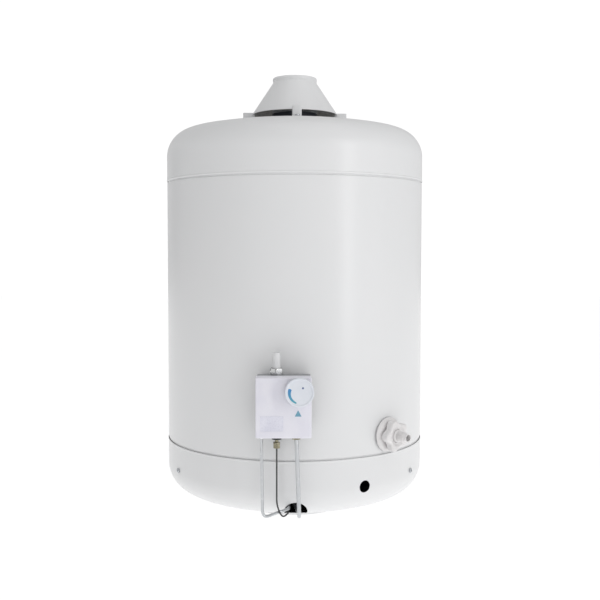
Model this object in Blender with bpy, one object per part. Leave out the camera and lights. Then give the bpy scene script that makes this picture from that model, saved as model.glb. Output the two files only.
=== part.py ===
"""Wall-hung gas storage water heater of about 50 litres, built as separate pieces.

Metres, +Z up, and the front faces -Y. The origin is the middle of the upper bracket's wall face.
Most pieces are placed from the tank's axis and from the bottom seam, where the jacket meets the
bottom cover's rim. "Rise" is a height over that seam, and "azimuth" turns from the front
towards +X.
"""

import math

import bmesh
import bpy
from mathutils import Matrix, Vector

# Overall sizes
JACKET_RADIUS = 0.2275
JACKET_HEIGHT = 0.4535       # from the bottom seam to the top seam
WALL_STANDOFF = 0.0225       # jacket's back to the wall
FIT_GAP = 0.0003             # between pieces that are fixed to each other
RUN_GAP = 0.0005             # between pieces that move past each other
CUT_PAST = 0.010             # how far a cutter runs past the sheet that it goes through
JACKET_WALL = 0.0008
COVER_WALL = 0.0006
TOP_LAP = 0.012              # jacket inside the top cover
BOTTOM_LAP = 0.0465          # jacket inside the bottom cover

# Dished covers
TOP_SKIRT = 0.0441
TOP_KNUCKLE = 0.0489
TOP_CROWN = 0.960
BOTTOM_SKIRT = 0.0447
BOTTOM_KNUCKLE = 0.0499
BOTTOM_CROWN = 0.596
BURNER_OPENING_RADIUS = 0.095
RING_WALL = 0.0012
RING_FLANGE = 0.009
RING_DROP = 0.008            # ring below the edge of the opening
SIGHT_RADIUS = 0.010
SIGHT_RISE = -0.048
SIGHT_AZIMUTH = math.radians(30)
TUBE_HOLE_RADIUS = 0.0190
TUBE_HOLE_X = 0.002
TUBE_HOLE_TOP_RISE = -0.0675
TUBE_HOLE_DEPTH = 0.050      # inwards from the cover's side
COVER_SCREW_RISE = -0.042
COVER_SCREW_AZIMUTHS = (math.radians(-60), math.radians(60), math.radians(180))
COVER_SCREW_RADIUS = 0.0019
COVER_SCREW_HEAD_RADIUS = 0.004
COVER_SCREW_HEAD = 0.0022
COVER_SCREW_LENGTH = 0.010
SCREW_HEAD_EDGE = 0.6        # height and radius of the head's upper edge, as shares of its own

# Tank
INSULATION = 0.0275          # jacket's outside to the tank's outside
TANK_WALL = 0.0025
TANK_BOTTOM_RISE = 0.002
TANK_TOP_DROP = 0.016        # tank's rim below the top seam
HEAD_SKIRT = 0.012
HEAD_KNUCKLE = 0.018
HEAD_CROWN = 0.600
FLUE_RADIUS = 0.0405
FLUE_WALL = 0.002
FLUE_OVER_COVER = 0.0135
BAFFLE_CLEARANCE = 0.0065    # baffle's edges to the flue's inside
BAFFLE_THICKNESS = 0.0014
BAFFLE_LENGTH = 0.400
BAFFLE_TURNS = 1.5
BAFFLE_STEPS = 24
BAFFLE_BAR_HEIGHT = 0.008    # bar that rests on the flue's end
BAFFLE_NECK = 0.006          # neck between the strip and its bar
ANODE_RADIUS = 0.011
ANODE_LENGTH = 0.330
ANODE_OFFSET = 0.105         # behind the tank's axis
ANODE_THREAD_RADIUS = 0.013
ANODE_HEAD = 0.012
ANODE_PLUG_THREAD = 0.010    # plug's stretch inside the head
ANODE_PLUG_SHOULDER = 0.004  # plug's round stretch over the head
PAD_CLEARANCE = 0.008        # top insulation to the anode's plug
PAD_OVER_HEAD = 0.004
PAD_UNDER_COVER = 0.006
BOSS_WEB = 0.004             # metal left under a bolt's hole
NIPPLE_RADIUS = 0.0132
NIPPLE_BORE_RADIUS = 0.0100
NIPPLE_END_RISE = -0.150
NIPPLE_INSIDE = 0.020        # nipple's stretch inside the tank
NIPPLE_AZIMUTH = math.radians(138)
STANDPIPE_RADIUS = 0.0090
STANDPIPE_WALL = 0.0015
STANDPIPE_SEAT = 0.030       # standpipe's stretch inside the nipple
STANDPIPE_BELOW_HEAD = 0.030
DEFLECTOR_WALL = 0.002
DEFLECTOR_HEIGHT = 0.040
DEFLECTOR_SEAT = 0.010       # deflector's stretch inside the nipple
DEFLECTOR_SLOT_SILL = 0.006
DEFLECTOR_SLOT_HEAD = 0.008

# Flue draft hood
HOOD_WALL = 0.0010
HOOD_BASE_RADIUS = 0.0765
HOOD_COLLAR_RADIUS = 0.0395
HOOD_OVER_CROWN = 0.0106
HOOD_CONE = 0.0575
HOOD_COLLAR = 0.0080
HOOD_LEG_WIDTH = 0.0156
HOOD_LEG_OUT = 0.0155        # leg's face outside the hood's lower edge
HOOD_LEG_FOOT = 0.0120
HOOD_LEG_OVER_BASE = 0.0035  # leg's top over the hood's lower edge
HOOD_LEG_LAP = 0.005         # leg's flanges inside the hood's lower edge
HOOD_LEG_WALL = 0.0012
HOOD_LEGS = 4
HOOD_TURN = math.radians(2.5)  # front leg's azimuth

# Wall brackets
BRACKET_DROP = 0.060         # upper bracket below the top seam
BRACKET_RISE = 0.080
BRACKET_HEIGHT = 0.040
BRACKET_WALL = 0.003
BRACKET_HALF_BACK = 0.090
BRACKET_FOOT = 0.024
BRACKET_AZIMUTH = math.radians(142)
BRACKET_SLOT_X = 0.060
BRACKET_SLOT_WIDTH = 0.010
BRACKET_SLOT_HEIGHT = 0.020
BOSS_RADIUS = 0.011
BOSS_GAP = 0.0016            # boss ends to the jacket's inside
BOLT_RADIUS = 0.0038
BOLT_HEAD_RADIUS = 0.0072
BOLT_HEAD = 0.0053
BOLT_LENGTH = 0.022

# Gas control
CONTROL_X = -0.0166
CONTROL_RISE = 0.0953
CONTROL_WIDTH = 0.0850
CONTROL_HEIGHT = 0.0926
CONTROL_FRONT = 0.060        # cover's front over the jacket
COVER_DEPTH = 0.0225
COVER_THICKNESS = 0.0018
COVER_ROUNDING = 0.0035
VALVE_DEPTH = 0.029
VALVE_INSET = 0.0012         # valve body inside the cover's outline
SPUD_RADIUS = 0.020
SPUD_BORE_RADIUS = 0.0125
STEM_RADIUS = 0.0055
STEM_COLLAR_RADIUS = 0.012
STEM_LENGTH = 0.130          # inwards from the tank's outside
STEM_SEAT = 0.008            # collar's socket in the valve body
STEM_END = 0.012             # collar's end over the jacket
KNOB_X = 0.0075
KNOB_RISE = 0.1214
KNOB_RADIUS = 0.0218
KNOB_HEIGHT = 0.0128
KNOB_WALL = 0.0022
KNOB_STROKE = 0.0045
KNOB_HUB_RADIUS = 0.0072
SHAFT_RADIUS = 0.0040
SHAFT_SEAT = 0.010           # shaft inside the valve body
SPRING_RADIUS = 0.0058
SPRING_WIRE = 0.0004
SPRING_TURNS = 4
LINES_BEFORE_JACKET = 0.0215  # the gas lines' centres over the jacket

# Gas lines, inlet and fittings
INLET_X = -0.0280
INLET_RADIUS = 0.0062
INLET_BORE_RADIUS = 0.0046
INLET_SEAT = 0.006           # tube's stretch inside the valve body
INLET_HEIGHT = 0.0339
INLET_NUT_RADIUS = 0.0107
INLET_NUT_HEIGHT = 0.0110
MAIN_X = 0.0028
MAIN_LEAN = 0.0047           # how far its lower end stands to the right of its nut
MAIN_RADIUS = 0.0032
MAIN_BORE_RADIUS = 0.0024
MAIN_BEND_RISE = -0.0845
MAIN_NUT_RADIUS = 0.0075
MAIN_NUT_HEIGHT = 0.0095
PILOT_X = -0.0516
PILOT_LINE_RADIUS = 0.0024
PILOT_BORE_RADIUS = 0.0015
PILOT_NUT_RADIUS = 0.0058
PILOT_NUT_HEIGHT = 0.0085
LEAD_X = -0.0276
LEAD_RADIUS = 0.0013
LEAD_NUT_RADIUS = 0.0058
LEAD_NUT_HEIGHT = 0.0098
LEAD_NUT_DROP = 0.0140       # nut's top below the valve body
LEAD_FERRULE_RADIUS = 0.0026
NUT_SEAT_SHARE = 1.16        # nut's bore over the line's radius, clear of a faceted line
LINE_BEND = 0.014            # where a bend starts, before its corner
PILOT_BEND = 0.020
LEAD_BEND = 0.010

# Burner
CHAMBER_RADIUS = 0.115
CHAMBER_WALL = 0.0012
CHAMBER_BOTTOM_RISE = -0.058
CHAMBER_SLOT_DEPTH = 0.006   # on either side of the chamber's outside
BURNER_RADIUS = 0.070
BURNER_HEIGHT = 0.020
BURNER_WALL = 0.0015
BURNER_RISE = -0.034
BURNER_PORTS = 12
BURNER_PORT_WIDTH = 0.003
BURNER_PORT_HEIGHT = 0.005
BURNER_BEVEL_HEIGHT = 0.006
BURNER_BEVEL_WIDTH = 0.008
MIXER_RADIUS = 0.0120
MIXER_WALL = 0.0012
MIXER_REACH = 0.062
MIXER_BEND = 0.018
MIXER_IN_HEAD = 0.004
BAR_WIDTH = 0.034
BAR_WALL = 0.002
BAR_OVER_CHAMBER = 0.004     # bar's underside over the chamber's lower edge
BAR_PAST_CHAMBER = 0.004
INJECTOR_RADIUS = 0.0065
INJECTOR_LENGTH = 0.016
INJECTOR_ORIFICE_RADIUS = 0.0010
INJECTOR_AIR_GAP = 0.004
PILOT_BURNER_RADIUS = 0.0045
PILOT_BURNER_HEIGHT = 0.022
PILOT_DROP = 0.010           # pilot burner's foot under the burner
PILOT_PLATE_RISE = 0.006     # over that foot
PILOT_PLATE_WALL = 0.0015
PILOT_PLATE_MARGIN = 0.008
PILOT_PLATE_FRONT = 0.007
PILOT_PLATE_BACK = 0.030
PROBE_RADIUS = 0.0032
PROBE_HEIGHT = 0.030
IGNITION_X = -0.020          # pilot burner
IGNITION_Y = -0.086
PROBE_X = -0.038

# Drain valve
DRAIN_AZIMUTH = math.radians(42)
DRAIN_RISE = 0.032
DRAIN_SHANK_RADIUS = 0.0105
DRAIN_SPUD_RADIUS = 0.0160
ROSETTE_RADIUS = 0.0285
ROSETTE_HEIGHT = 0.0075
ROSETTE_BACK = 0.0022        # over the jacket, clear of its curve
ROSETTE_EDGE = 0.0042        # rosette's outer edge over the jacket
ROSETTE_FACE = 0.85          # flat face's radius, as a share of its own
HANDLE_RADIUS = 0.0262
HANDLE_HEIGHT = 0.0140
HANDLE_START = 0.0105        # handle's inner face over the jacket
HANDLE_LOBES = 5
HANDLE_LOBE_DEPTH = 0.0065
SPOUT_RADIUS = 0.00865
SPOUT_TAIL_RADIUS = 0.00685
SPOUT_TAIL = 0.006
SPOUT_END = 0.0460           # spout's end over the jacket
DRAIN_BORE_RADIUS = 0.0053
DRAIN_SEAT_RADIUS = 0.0035
DRAIN_SEAT_LENGTH = 0.008
PLUNGER_RADIUS = 0.0046
PLUNGER_BORE_RADIUS = 0.0030
PLUNGER_LENGTH = 0.024
PLUNGER_TIP = 0.004
PLUNGER_SLOT_WIDTH = 0.003
PLUNGER_SLOT_HEIGHT = 0.005

# Facets round a circle
SHELL_FACETS = 40
PIPE_FACETS = 20
KNOB_FACETS = 32
SMALL_FACETS = 12
LINE_FACETS = 8
KNUCKLE_STEPS = 4
HEAD_KNUCKLE_STEPS = 2
CROWN_STEPS = 2              # flat rings from a dished crown's edge to its opening
WELD = 1e-6

# What follows from those
AXIS_Y = -(JACKET_RADIUS + WALL_STANDOFF)
TOP_SEAM = BRACKET_DROP
BOTTOM_SEAM = TOP_SEAM - JACKET_HEIGHT
SHELL_RADIUS = JACKET_RADIUS + FIT_GAP + COVER_WALL
TANK_RADIUS = JACKET_RADIUS - INSULATION
TANK_TOP_RISE = JACKET_HEIGHT - TANK_TOP_DROP
HEAD_RADIUS = TANK_RADIUS - TANK_WALL - FIT_GAP
CHAMBER_TO_TANK = (CHAMBER_RADIUS + TANK_RADIUS) / 2
CONTROL_Y = -(JACKET_RADIUS + CONTROL_FRONT)
COVER_BACK_Y = CONTROL_Y + COVER_DEPTH
VALVE_FRONT_Y = COVER_BACK_Y + FIT_GAP
VALVE_BACK_Y = VALVE_FRONT_Y + VALVE_DEPTH
VALVE_BOTTOM = CONTROL_RISE - CONTROL_HEIGHT / 2 + VALVE_INSET
VALVE_TOP = CONTROL_RISE + CONTROL_HEIGHT / 2 - VALVE_INSET
LINES_Y = -(JACKET_RADIUS + LINES_BEFORE_JACKET)
BURNER_TOP = BURNER_RISE + BURNER_HEIGHT
HOOD_LEG_REACH = HOOD_BASE_RADIUS + HOOD_LEG_OUT
HOOD_LEG_ROOT = HOOD_BASE_RADIUS - HOOD_LEG_LAP
PILOT_FOOT = BURNER_RISE - PILOT_DROP
BAFFLE_WIDTH = 2 * (FLUE_RADIUS - FLUE_WALL - BAFFLE_CLEARANCE)


def material(name, colour, roughness, metallic=0.0):
    """A plain material; the colour is linear red, green and blue."""
    made = bpy.data.materials.new(name)
    made.use_nodes = True
    shader = made.node_tree.nodes["Principled BSDF"]
    shader.inputs["Base Color"].default_value = (*colour, 1.0)
    shader.inputs["Roughness"].default_value = roughness
    shader.inputs["Metallic"].default_value = metallic
    return made


def axis_empty(name, location, rotation=(0, 0, 0), parent=None):
    """An empty that pieces hang from, on a joint's axis where there is one."""
    empty = bpy.data.objects.new(name, None)
    bpy.context.scene.collection.objects.link(empty)
    empty.location = location
    empty.rotation_euler = rotation
    empty.parent = parent
    return empty


def place(name, mesh, parent, location, rotation):
    made = bpy.data.objects.new(name, mesh)
    bpy.context.scene.collection.objects.link(made)
    made.location = location
    made.rotation_euler = rotation
    made.parent = parent
    return made


def mesh_from(name, bm):
    mesh = bpy.data.meshes.new(name)
    bm.to_mesh(mesh)
    bm.free()
    mesh.shade_smooth()
    mesh.set_sharp_from_angle(angle=math.radians(30))
    return mesh


def piece(name, bm, finish, parent, location=(0, 0, 0), rotation=(0, 0, 0)):
    """One sub-part, in its parent's frame."""
    mesh = mesh_from(name, bm)
    mesh.materials.append(finish)
    return place(name, mesh, parent, location, rotation)


def boolean(target, operation, bm, parent, location=(0, 0, 0), rotation=(0, 0, 0)):
    """Cuts a shape out of the target, or joins it on, and keeps the shape as a hidden helper."""
    name = f"{target.name}_{operation.lower()}_{len(target.modifiers)}"
    helper = place(name, mesh_from(name, bm), parent, location, rotation)
    helper.hide_render = True
    helper.display_type = "WIRE"
    modifier = target.modifiers.new(name, "BOOLEAN")
    modifier.operation = operation
    modifier.object = helper
    return helper


def cut(target, bm, parent, location=(0, 0, 0), rotation=(0, 0, 0)):
    return boolean(target, "DIFFERENCE", bm, parent, location, rotation)


def join(target, bm, parent, location=(0, 0, 0), rotation=(0, 0, 0)):
    return boolean(target, "UNION", bm, parent, location, rotation)


def turned(outline, facets=SHELL_FACETS):
    """A solid turned about Z from the (radius, height) corners of its half section."""
    bm = bmesh.new()
    corners = [bm.verts.new((radius, 0, height)) for radius, height in outline]
    pairs = list(zip(corners, corners[1:]))
    if outline[0][0] > 0 or outline[-1][0] > 0:
        pairs.append((corners[-1], corners[0]))
    edges = [bm.edges.new(pair) for pair in pairs]
    bmesh.ops.spin(bm, geom=corners + edges, axis=(0, 0, 1), cent=(0, 0, 0), angle=math.tau,
                   steps=facets, use_merge=True)
    bmesh.ops.remove_doubles(bm, verts=bm.verts, dist=WELD)
    bmesh.ops.recalc_face_normals(bm, faces=bm.faces)
    return bm


def rod(radius, low, high, facets=SMALL_FACETS):
    return turned([(0, low), (radius, low), (radius, high), (0, high)], facets)


def sleeve(radius, bore, low, high, facets=PIPE_FACETS):
    return turned([(bore, low), (radius, low), (radius, high), (bore, high)], facets)


def prism(outline, low, high):
    """A solid with the given corners in X and Y, from one height to another."""
    bm = bmesh.new()
    face = bm.faces.new([bm.verts.new((x, y, low)) for x, y in outline])
    grown = bmesh.ops.extrude_face_region(bm, geom=[face])["geom"]
    top = [item for item in grown if isinstance(item, bmesh.types.BMVert)]
    bmesh.ops.translate(bm, verts=top, vec=(0, 0, high - low))
    bmesh.ops.recalc_face_normals(bm, faces=bm.faces)
    return bm


def block(low, high):
    corners = [(low[0], low[1]), (high[0], low[1]), (high[0], high[1]), (low[0], high[1])]
    return prism(corners, low[2], high[2])


def ring_of(bm, count):
    """A shape and its copies, evenly turned round Z."""
    first = bm.verts[:] + bm.edges[:] + bm.faces[:]
    for number in range(1, count):
        copied = bmesh.ops.duplicate(bm, geom=first)["geom"]
        corners = [item for item in copied if isinstance(item, bmesh.types.BMVert)]
        turn = Matrix.Rotation(math.tau * number / count, 3, "Z")
        bmesh.ops.rotate(bm, verts=corners, cent=(0, 0, 0), matrix=turn)
    return bm


def sweep(route, radius, bore=0.0, facets=LINE_FACETS):
    """A round line along a route, hollow where it has a bore."""
    bm = bmesh.new()
    side = Vector((1, 0, 0))
    rings = []
    for index, point in enumerate(route):
        ahead = route[min(index + 1, len(route) - 1)] - route[max(index - 1, 0)]
        ahead.normalize()
        side = (side - ahead * side.dot(ahead)).normalized()
        across = ahead.cross(side)
        turns = [math.tau * step / facets for step in range(facets)]
        radii = (radius, bore) if bore else (radius,)
        rings.append([[bm.verts.new(point + (side * math.cos(turn) + across * math.sin(turn)) * size)
                       for turn in turns] for size in radii])
    for one, two in zip(rings, rings[1:]):
        for near, far in zip(one, two):
            bridge(bm, near, far)
    for end in (rings[0], rings[-1]):
        if bore:
            bridge(bm, end[0], end[1])
        else:
            bm.faces.new(end[0])
    bmesh.ops.recalc_face_normals(bm, faces=bm.faces)
    return bm


def bridge(bm, one, two):
    """Faces between two rings of as many corners."""
    for step in range(len(one)):
        bm.faces.new((one[step - 1], one[step], two[step], two[step - 1]))


def rounded(points, bend, steps=4):
    """A route through the points, with each corner replaced by a smooth bend."""
    route = [Vector(points[0])]
    for before, corner, after in zip(points, points[1:], points[2:]):
        corner = Vector(corner)
        back = Vector(before) - corner
        on = Vector(after) - corner
        reach = min(bend, back.length / 2, on.length / 2)
        start = corner + back.normalized() * reach
        end = corner + on.normalized() * reach
        for step in range(steps + 1):
            share = step / steps
            route.append(start * (1 - share) ** 2 + corner * 2 * share * (1 - share) + end * share ** 2)
    route.append(Vector(points[-1]))
    return route


def strap(points, wall):
    """The outline of a strap of even thickness along points in a plane."""
    points = [Vector(point) for point in points]
    runs = [(after - before).normalized() for before, after in zip(points, points[1:])]
    left, right = [], []
    for index, point in enumerate(points):
        one = runs[max(index - 1, 0)]
        two = runs[min(index, len(runs) - 1)]
        normal = Vector((-one.y - two.y, one.x + two.x)).normalized()
        offset = normal * (wall / 2 / normal.dot(Vector((-one.y, one.x))))
        left.append(point + offset)
        right.append(point - offset)
    return [tuple(point) for point in left + right[::-1]]


def dished(radius, skirt, knuckle, crown, opening, wall, knuckle_steps=KNUCKLE_STEPS):
    """The half section of a dished shell: skirt from height 0, knuckle, crown, round opening."""
    centre = skirt - math.sqrt((crown - knuckle) ** 2 - (radius - knuckle) ** 2)
    lean = math.asin((radius - knuckle) / (crown - knuckle))
    outer = [(radius, 0.0)]
    inner = [(radius - wall, 0.0)]
    for step in range(knuckle_steps + 1):
        turn = (math.pi / 2 - lean) * step / knuckle_steps
        for side, size in ((outer, knuckle), (inner, knuckle - wall)):
            side.append((radius - knuckle + size * math.cos(turn), skirt + size * math.sin(turn)))
    for side, size in ((outer, crown), (inner, crown - wall)):
        start = side[-1][0]
        for step in range(1, CROWN_STEPS + 1):
            across = start + (opening - start) * step / CROWN_STEPS
            side.append((across, centre + math.sqrt(size ** 2 - across ** 2)))
    return outer + inner[::-1]


def dished_height(radius, skirt, knuckle, crown, across):
    """How high the crown of a dished shell stands at a distance from its axis."""
    centre = skirt - math.sqrt((crown - knuckle) ** 2 - (radius - knuckle) ** 2)
    return centre + math.sqrt(crown ** 2 - across ** 2)


def ringed_height(radius, skirt, knuckle, crown, opening, across):
    """As dished_height, but on the flat rings that the crown is built with."""
    lean = math.asin((radius - knuckle) / (crown - knuckle))
    start = radius - knuckle + knuckle * math.sin(lean)
    width = (start - opening) / CROWN_STEPS
    outer = start - int((start - across) / width) * width
    high, low = [dished_height(radius, skirt, knuckle, crown, edge) for edge in (outer - width, outer)]
    return low + (high - low) * (outer - across) / width


def top_cover_rise(across):
    """Top cover's outside, on its flat rings."""
    return JACKET_HEIGHT + ringed_height(SHELL_RADIUS, TOP_SKIRT, TOP_KNUCKLE, TOP_CROWN,
                                         FLUE_RADIUS + FIT_GAP, across)


def bottom_cover_rise(across):
    return -dished_height(SHELL_RADIUS, BOTTOM_SKIRT, BOTTOM_KNUCKLE, BOTTOM_CROWN, across)


def bottom_head_rise(across):
    """Underside of the bottom head."""
    return TANK_BOTTOM_RISE + ringed_height(HEAD_RADIUS - TANK_WALL, HEAD_SKIRT, HEAD_KNUCKLE - TANK_WALL,
                                            HEAD_CROWN - TANK_WALL, FLUE_RADIUS + FIT_GAP, across)


def top_head_rise(across):
    outside = dished_height(HEAD_RADIUS, HEAD_SKIRT, HEAD_KNUCKLE, HEAD_CROWN, across)
    return TANK_TOP_RISE - HEAD_SKIRT + outside


def round_the_tank(azimuth, radius, rise):
    return (radius * math.sin(azimuth), -radius * math.cos(azimuth), rise)


def outwards(azimuth):
    """Turns local Z to point out of the tank's side, with local Y up."""
    return (math.pi / 2, 0, azimuth)


for old in list(bpy.data.objects):
    bpy.data.objects.remove(old, do_unlink=True)

ENAMEL = material("white_enamel", (0.72, 0.73, 0.74), 0.28)
GALVANISED = material("galvanised_steel", (0.52, 0.53, 0.54), 0.42, 0.9)
TANK_STEEL = material("glass_lined_steel", (0.10, 0.12, 0.16), 0.45, 0.3)
WOOL = material("insulation", (0.70, 0.62, 0.32), 0.95)
ALUMINIUM = material("aluminium", (0.60, 0.61, 0.63), 0.35, 0.95)
BRASS = material("brass", (0.62, 0.46, 0.20), 0.32, 0.95)
COPPER = material("copper", (0.60, 0.28, 0.16), 0.35, 0.95)
DARK_CASTING = material("dark_casting", (0.045, 0.045, 0.05), 0.55, 0.4)
WHITE_PLASTIC = material("white_plastic", (0.74, 0.73, 0.78), 0.38)
DRAIN_PLASTIC = material("drain_plastic", (0.76, 0.77, 0.75), 0.40)
RUBBER = material("dark_lead", (0.03, 0.03, 0.032), 0.6)
STEEL = material("zinc_plated_steel", (0.55, 0.55, 0.56), 0.35, 0.95)
MAGNESIUM = material("magnesium", (0.45, 0.46, 0.47), 0.6, 0.8)

heater = axis_empty("heater_axis", (0, AXIS_Y, BOTTOM_SEAM))
drain = axis_empty("drain_axis", round_the_tank(DRAIN_AZIMUTH, JACKET_RADIUS, DRAIN_RISE),
                   outwards(DRAIN_AZIMUTH), heater)
knob = axis_empty("knob_axis", (KNOB_X, CONTROL_Y, KNOB_RISE), outwards(0), heater)
bracket_rises = {"upper": JACKET_HEIGHT - BRACKET_DROP, "lower": BRACKET_RISE}
bracket_sides = (-BRACKET_AZIMUTH, BRACKET_AZIMUTH)
hood_leg_turns = [HOOD_TURN + math.tau * number / HOOD_LEGS for number in range(HOOD_LEGS)]


def build_casing():
    jacket = piece("outer_jacket", sleeve(JACKET_RADIUS, JACKET_RADIUS - JACKET_WALL, -BOTTOM_LAP,
                                          JACKET_HEIGHT + TOP_LAP, SHELL_FACETS), ENAMEL, heater)
    top = dished(SHELL_RADIUS, TOP_SKIRT, TOP_KNUCKLE, TOP_CROWN,
                 FLUE_RADIUS + FIT_GAP, COVER_WALL)
    top_cover = piece("top_cover", turned(top), ENAMEL, heater, (0, 0, JACKET_HEIGHT))
    bottom = dished(SHELL_RADIUS, BOTTOM_SKIRT, BOTTOM_KNUCKLE, BOTTOM_CROWN,
                    BURNER_OPENING_RADIUS, COVER_WALL)
    bottom = [(radius, -height) for radius, height in bottom]
    bottom_cover = piece("bottom_cover", turned(bottom), ENAMEL, heater)

    sight = round_the_tank(SIGHT_AZIMUTH, JACKET_RADIUS, SIGHT_RISE)
    tube_hole = (TUBE_HOLE_X, -JACKET_RADIUS, TUBE_HOLE_TOP_RISE - TUBE_HOLE_RADIUS)
    for sheet in (jacket, bottom_cover):
        cut(sheet, rod(SIGHT_RADIUS, -CUT_PAST, CUT_PAST), heater, sight, outwards(SIGHT_AZIMUTH))
        for azimuth in COVER_SCREW_AZIMUTHS:
            spot = round_the_tank(azimuth, JACKET_RADIUS, COVER_SCREW_RISE)
            cut(sheet, rod(COVER_SCREW_RADIUS + FIT_GAP, -CUT_PAST, CUT_PAST, LINE_FACETS), heater, spot,
                outwards(azimuth))
    cut(bottom_cover, rod(TUBE_HOLE_RADIUS, -TUBE_HOLE_DEPTH, CUT_PAST, PIPE_FACETS), heater, tube_hole,
        outwards(0))
    for side in (-1, 1):
        spot = round_the_tank(side * NIPPLE_AZIMUTH, CHAMBER_TO_TANK, NIPPLE_END_RISE)
        cut(bottom_cover, rod(NIPPLE_RADIUS + RUN_GAP, 0, -NIPPLE_END_RISE / 2, SMALL_FACETS * 2),
            heater, spot)
    cut(jacket, rod(DRAIN_SHANK_RADIUS + RUN_GAP, -CUT_PAST, CUT_PAST), drain)
    cut(jacket, rod(SPUD_RADIUS + RUN_GAP, -CUT_PAST, CUT_PAST, PIPE_FACETS), heater,
        (CONTROL_X, -JACKET_RADIUS, CONTROL_RISE), outwards(0))
    for rise in bracket_rises.values():
        for azimuth in bracket_sides:
            cut(jacket, rod(BOLT_RADIUS + RUN_GAP, -CUT_PAST, CUT_PAST), heater,
                round_the_tank(azimuth, JACKET_RADIUS, rise), outwards(azimuth))
    for turn in hood_leg_turns:
        spot = round_the_tank(turn, HOOD_LEG_REACH + HOOD_LEG_FOOT / 2, top_cover_rise(HOOD_LEG_REACH))
        cut(top_cover, rod(COVER_SCREW_RADIUS + FIT_GAP, -CUT_PAST, CUT_PAST, LINE_FACETS), heater, spot)

    edge = bottom_cover_rise(BURNER_OPENING_RADIUS)
    outer = BURNER_OPENING_RADIUS - FIT_GAP
    shelf = bottom_cover_rise(outer + RING_FLANGE) + COVER_WALL + 3 * FIT_GAP
    ring = [(outer - RING_WALL, edge - RING_DROP), (outer, edge - RING_DROP), (outer, shelf),
            (outer + RING_FLANGE, shelf), (outer + RING_FLANGE, shelf + RING_WALL),
            (outer - RING_WALL, shelf + RING_WALL)]
    piece("bottom_ring", turned(ring), ENAMEL, heater)

    for number, azimuth in enumerate(COVER_SCREW_AZIMUTHS, 1):
        spot = round_the_tank(azimuth, SHELL_RADIUS + FIT_GAP, COVER_SCREW_RISE)
        piece(f"cover_screw_{number}", pan_screw(), STEEL, heater, spot, outwards(azimuth))


def pan_screw():
    """A pan-head screw with its head's underside at height 0."""
    return turned([(0, -COVER_SCREW_LENGTH), (COVER_SCREW_RADIUS, -COVER_SCREW_LENGTH),
                   (COVER_SCREW_RADIUS, 0), (COVER_SCREW_HEAD_RADIUS, 0),
                   (COVER_SCREW_HEAD_RADIUS, COVER_SCREW_HEAD * SCREW_HEAD_EDGE),
                   (COVER_SCREW_HEAD_RADIUS * SCREW_HEAD_EDGE, COVER_SCREW_HEAD), (0, COVER_SCREW_HEAD)],
                  SMALL_FACETS)


def build_hood():
    crown = JACKET_HEIGHT + dished_height(SHELL_RADIUS, TOP_SKIRT, TOP_KNUCKLE, TOP_CROWN, 0)
    base = crown + HOOD_OVER_CROWN
    neck = base + HOOD_CONE
    rim = neck + HOOD_COLLAR
    slope = HOOD_WALL * 1.25
    section = [(HOOD_BASE_RADIUS, base), (HOOD_COLLAR_RADIUS, neck), (HOOD_COLLAR_RADIUS, rim),
               (HOOD_COLLAR_RADIUS - HOOD_WALL, rim), (HOOD_COLLAR_RADIUS - HOOD_WALL, neck),
               (HOOD_BASE_RADIUS - slope, base)]
    hood = piece("flue_draft_hood", turned(section), ENAMEL, heater)
    reach = HOOD_LEG_REACH
    toe = reach + HOOD_LEG_FOOT
    half = HOOD_LEG_WALL / 2
    wide = HOOD_LEG_WIDTH / 2
    inside = wide - HOOD_LEG_WALL
    outer, inner = reach + half + FIT_GAP, reach - half - FIT_GAP
    channel = [(HOOD_LEG_ROOT, -wide), (outer, -wide), (outer, wide), (HOOD_LEG_ROOT, wide),
               (HOOD_LEG_ROOT, inside), (inner, inside), (inner, -inside), (HOOD_LEG_ROOT, -inside)]
    channel_foot = top_cover_rise(HOOD_LEG_ROOT) + 2 * FIT_GAP
    points = [(reach, channel_foot + HOOD_LEG_WALL), (reach, top_cover_rise(reach) + FIT_GAP + half),
              (toe, top_cover_rise(toe) + FIT_GAP + half)]
    for turn in hood_leg_turns:
        join(hood, prism(channel, channel_foot, base + HOOD_LEG_OVER_BASE), heater, (0, 0, 0),
             (0, 0, turn - math.pi / 2))
        foot = prism(strap(points, HOOD_LEG_WALL), FIT_GAP - wide, wide - FIT_GAP)
        join(hood, foot, heater, (0, 0, 0), (math.pi / 2, 0, turn - math.pi / 2))
    for number, turn in enumerate(hood_leg_turns, 1):
        middle = reach + HOOD_LEG_FOOT / 2
        spot = round_the_tank(turn, middle, top_cover_rise(reach) + HOOD_LEG_WALL + 3 * FIT_GAP)
        cut(hood, rod(COVER_SCREW_RADIUS + FIT_GAP, -HOOD_LEG_WALL * 3, HOOD_LEG_WALL * 3, LINE_FACETS),
            heater, spot)
        piece(f"hood_screw_{number}", pan_screw(), STEEL, heater, spot)


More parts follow.
